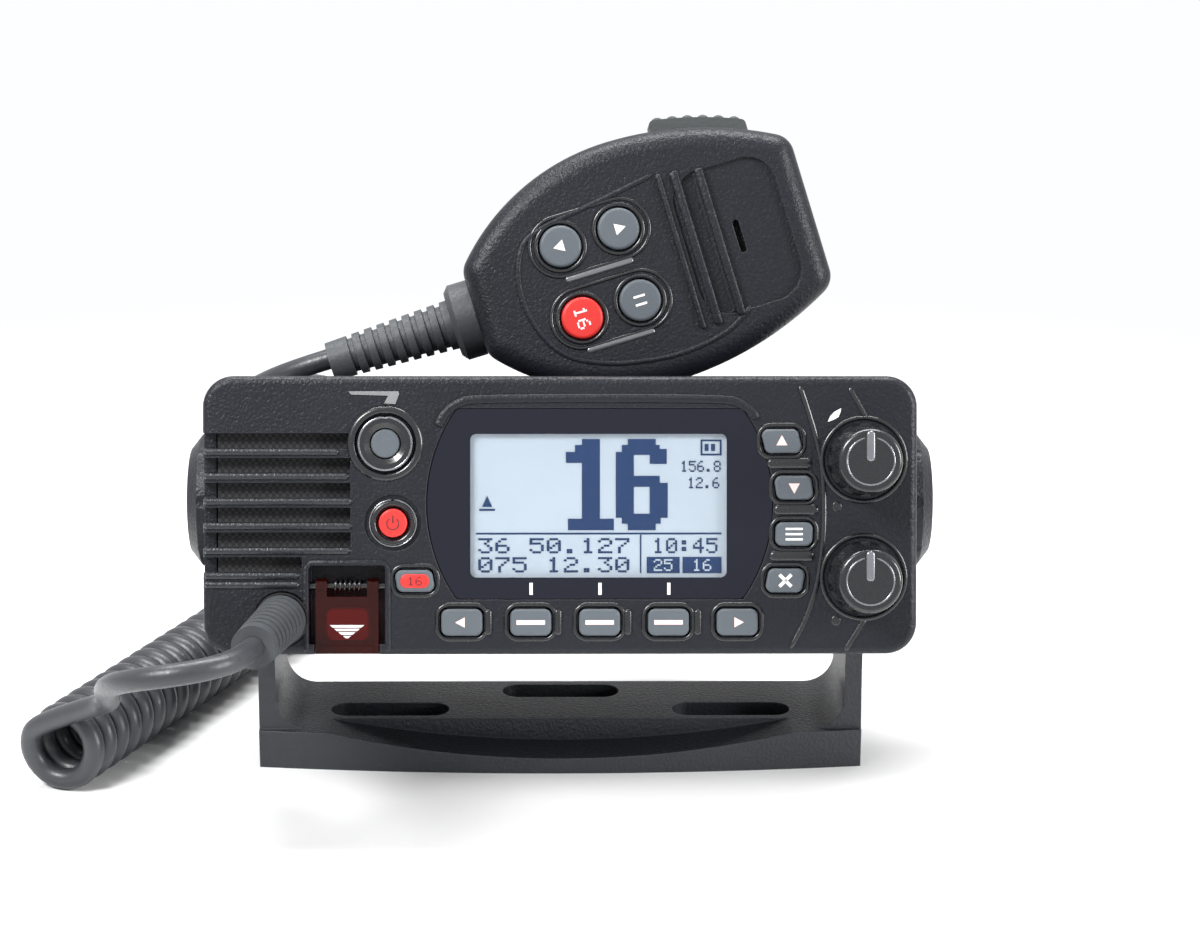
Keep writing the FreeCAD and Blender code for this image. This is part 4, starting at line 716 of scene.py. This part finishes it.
mark("mark_left", [triangle(-20.7, -22.4, 1.25, "left")], "key_left_body", "print_pink")
mark("mark_right", [triangle(37.1, -22.4, 1.25, "right")], "key_right_body", "print_pink")
for name, x in (("soft_left", -6.25), ("soft_middle", 8.2), ("soft_right", 22.65)):
    mark("mark_" + name, [square(x - 3.0, -22.87, x + 3.0, -21.93)], "key_%s_body" % name, "print_pink")
mark("mark_up", [triangle(46.4, 15.4, 1.35, "up")], "key_up_body", "print_pink")
mark("mark_down", [triangle(49, 6.05, 1.35, "down")], "key_down_body", "print_pink")
mark("mark_menu", [square(47.2, -3.9 + dz - 0.22, 50.8, -3.9 + dz + 0.22) for dz in (-1.1, 0, 1.1)],
     "key_menu_body")
# The two bars of a cross: for each corner, steps along the arm and across it, in x and then in z.
ARM = 1.25
ACROSS = 0.25
CROSS = (((-1, -1, -1, 1), (-1, 1, -1, -1), (1, 1, 1, -1), (1, -1, 1, 1)),
         ((-1, -1, 1, -1), (-1, 1, 1, 1), (1, 1, -1, 1), (1, -1, -1, -1)))
mark("mark_clear", [[(47.18 + a * ARM + b * ACROSS, -13.65 + ARM * c + ACROSS * d) for a, b, c, d in bar]
                    for bar in CROSS], "key_clear_body")
loft("channel_face", [button(*CHANNEL_KEY, 6.0, 2.9, 1.2, -1.05, -0.8, 0.12)], FACE, "key_red",
     "key_channel_body")
mark("mark_channel", dots("16", -32.05, -12.8, 0.28, 0.26), "key_channel_body", "print_dark", (-1.08, -1.0))
arc = ring_line(-35.1, -1.65, 1.25, -0.92, 0.13, 35, 325)
loft("mark_power", [arc, button(-35.1, -0.75, 0.3, 1.6, 0.15, -1.0, -0.8, 0.03)], FACE, "print_dark",
     "power_body")

# An arrow of stripes on the alarm cover, from its wide top down to its tip.
ARROW_TOP = -23.0
ARROW_HIGH = 2.95
ARROW_HALF = 3.6
STRIPE_STEP = 0.75
STRIPE_HIGH = 0.5
stripes = []
for k in range(4):
    top = ARROW_TOP - k * STRIPE_STEP
    low = top - STRIPE_HIGH
    half_top = ARROW_HALF * (1 - k * STRIPE_STEP / ARROW_HIGH)
    half_low = ARROW_HALF * (1 - (k * STRIPE_STEP + STRIPE_HIGH) / ARROW_HIGH)
    stripes.append([(COVER_X - half_low, low), (COVER_X + half_low, low), (COVER_X + half_top, top),
                    (COVER_X - half_top, top)])
mark("cover_stripes", stripes, "cover_body", "print_white", (0.12, 0.25))


# Marks on the microphone.

loft("mic_key_surrounds", [collar(x, z, 9.2, 9.2, 4.6, 0.35, 1.3, -15.45, -14.8)
                           for x in MIC_KEY_X for z in MIC_KEY_Z], MIC, "gloss_black_and_shade", "mic",
     open_ends=True)
loft("mic_ridges", [button(-9.5, z, 15.5, 1.3, 0.6, -15.4, -14.8, 0.3) for z in (0.8, -15.4)], MIC,
     "rim_shine", "mic")
mark("mark_mic_down", [triangle(-16.2, 8.2, 1.5, "left")], "mic_key_down_body", "print_white", MIC_MARK,
     MIC)
mark("mark_mic_up", [triangle(-2.9, 8.2, 1.5, "right")], "mic_key_up_body", "print_white", MIC_MARK,
     MIC)
turned_dots = [[(-16.2 + q, -8.2 - p) for p, q in o] for o in dots("16", -2.4, 1.45, 0.44, 0.42)]
mark("mark_mic_channel", turned_dots, "mic_key_channel_body", "print_white", MIC_MARK, MIC)
mark("mark_mic_power", [square(-4.2, -8.2 + d - 0.25, -1.6, -8.2 + d + 0.25) for d in (-0.9, 0.9)],
     "mic_key_power_body", "print_white", MIC_MARK, MIC)
border = [(7.6, 17.3), (-5.2, 15.3), (-20.2, 12.9), (-25.3, 9.0), (-27.6, 0.6), (-26.2, -8.2), (-22.0, -15.0),
          (-14.4, -19.1), (-5.4, -21.3), (4.1, -21.9), (13.7, -20.2), (20.0, -16.5)]
loft("mic_border", [rod(smooth([(x, -15.0, z) for x, z in border]), 0.6, 0.8)], MIC, "case_plastic", "mic")
MIC_BARS = ((8.7, -0.6, 1.2, 35.5), (12.2, -0.8, 1.8, 35), (17.6, -1.0, 1.8, 33.5))
loft("mic_bars", [button(*place, 0.6, -16.0, -14.6, 0.35) for place in MIC_BARS], MIC, "case_plastic", "mic")
loft("mic_key_frames", [collar(-9.55, z, 26.6, 12.8, 6.4, -0.2, 0.6, -15.4, -14.8) for z in MIC_KEY_Z], MIC,
     "gloss_black_and_shade", "mic", open_ends=True)

# Ribs of the push-to-talk button, on the microphone's curved edge.
EDGE_RADIUS = 77.25
EDGE_DROP = 49.75
RIB_PROUD = 1.9
grip = []
for k in range(6):
    x = 12.6 + k * 3.3
    z = math.sqrt(EDGE_RADIUS ** 2 - x * x) - EDGE_DROP + RIB_PROUD
    grip.append([[(x + r * math.cos(a), y, z + r * math.sin(a)) for a in [math.pi * s / 8 for s in range(16)]]
                 for y, r in ((-4.9, 0.5), (-4.5, 1.3), (-3.7, 1.65), (3.9, 1.65), (4.7, 1.3), (5.1, 0.5))])
loft("ptt_grip", grip, MIC, "ptt_rubber", "ptt_body")


# Floor, light and camera.

BACKGROUND_WHITE = (0.985, 0.99, 1.0, 1)


def floor_paint():
    """A pale floor that turns to plain white away from the object."""
    made, tree, shader = principled("floor_pale")
    tint = tree.nodes.new("ShaderNodeHueSaturation")
    tint.inputs["Color"].default_value = (0.84, 0.84, 0.84, 1)
    link(tree, span(tree, noise(tree, 30, 2), 0.995, 1.005), "Result", tint, "Value")
    link(tree, tint, "Color", shader, "Base Color")
    shader.inputs["Roughness"].default_value = 0.8
    shader.inputs["Specular IOR Level"].default_value = 0.2
    where = tree.nodes.new("ShaderNodeTexCoord")
    away = tree.nodes.new("ShaderNodeVectorMath")
    away.operation = "LENGTH"
    link(tree, where, "Object", away, 0)
    share = tree.nodes.new("ShaderNodeMapRange")
    share.interpolation_type = "SMOOTHSTEP"
    share.inputs["From Min"].default_value = 0.12
    share.inputs["From Max"].default_value = 0.45
    link(tree, away, "Value", share, "Value")
    white = tree.nodes.new("ShaderNodeEmission")
    white.inputs["Color"].default_value = BACKGROUND_WHITE
    both = tree.nodes.new("ShaderNodeMixShader")
    fade = tree.nodes.new("ShaderNodeMath")
    fade.operation = "MULTIPLY"
    link(tree, share, "Result", fade, 0)
    tree.links.new(background_rays(tree), fade.inputs[1])
    link(tree, fade, "Value", both, "Fac")
    link(tree, shader, "BSDF", both, 1)
    link(tree, white, "Emission", both, 2)
    link(tree, both, "Shader", tree.nodes["Material Output"], "Surface")
    return made


def background_rays(tree):
    """1 for rays that come from the camera, a gloss or a glass, and 0 for those that light the object."""
    path = tree.nodes.new("ShaderNodeLightPath")
    last = path.outputs["Is Camera Ray"]
    for kind in ("Is Glossy Ray", "Is Transmission Ray"):
        either = tree.nodes.new("ShaderNodeMath")
        either.operation = "MAXIMUM"
        tree.links.new(last, either.inputs[0])
        tree.links.new(path.outputs[kind], either.inputs[1])
        last = either.outputs["Value"]
    return last


floor_mesh = bpy.data.meshes.new("floor")
floor_mesh.from_pydata([(-6, -3, 0), (6, -3, 0), (6, 8, 0), (-6, 8, 0)], [], [(0, 1, 2, 3)])
floor = bpy.data.objects.new("floor", floor_mesh)
bpy.context.scene.collection.objects.link(floor)
floor.location.z = -0.00002
floor.data.materials.append(floor_paint())

SKY_ON_OBJECT = 0.3
LAMP_TARGET = (0, 0, 0.06)
scene = bpy.context.scene
world = bpy.data.worlds.new("studio")
scene.world = world
world.use_nodes = True
sky = world.node_tree.nodes["Background"]
sky.inputs["Color"].default_value = BACKGROUND_WHITE
level = world.node_tree.nodes.new("ShaderNodeMapRange")
level.inputs["To Min"].default_value = SKY_ON_OBJECT
level.inputs["To Max"].default_value = 1.0
world.node_tree.links.new(background_rays(world.node_tree), level.inputs["Value"])
link(world.node_tree, level, "Result", sky, "Strength")


def lamp(label, spot, size, power):
    """A soft white lamp that points at the radio."""
    light = bpy.data.lights.new(label, "AREA")
    light.shape = "RECTANGLE"
    light.size, light.size_y = size
    light.energy = power
    obj = bpy.data.objects.new(label, light)
    scene.collection.objects.link(obj)
    obj.location = spot
    obj.rotation_euler = (Vector(LAMP_TARGET) - Vector(spot)).to_track_quat("-Z", "Y").to_euler()


lamp("key", (-0.5, -0.5, 0.7), (0.4, 0.25), 11)
lamp("fill", (0.7, -0.35, 0.3), (0.2, 0.4), 6)
lamp("top", (0.0, 0.2, 0.8), (0.8, 0.2), 10)

camera = bpy.data.cameras.new("camera")
camera.sensor_width = 36
camera.lens = 85.86
camera.clip_start = 0.01
eye = bpy.data.objects.new("camera", camera)
scene.collection.objects.link(eye)
right = Vector((0.9999046, -0.013275, 0.0038065))
up = Vector((0.0003544, 0.3002117, 0.9538725))
ahead = Vector((0.0138054, 0.9537802, -0.3001878))
stance = Matrix((right, up, -ahead)).transposed().to_4x4()
eye.matrix_world = Matrix.Translation((0, -0.613836, 0.257332)) @ stance
scene.camera = eye
scene.view_settings.view_transform = "Standard"
scene.cycles.max_bounces = 8
scene.cycles.transparent_max_bounces = 12
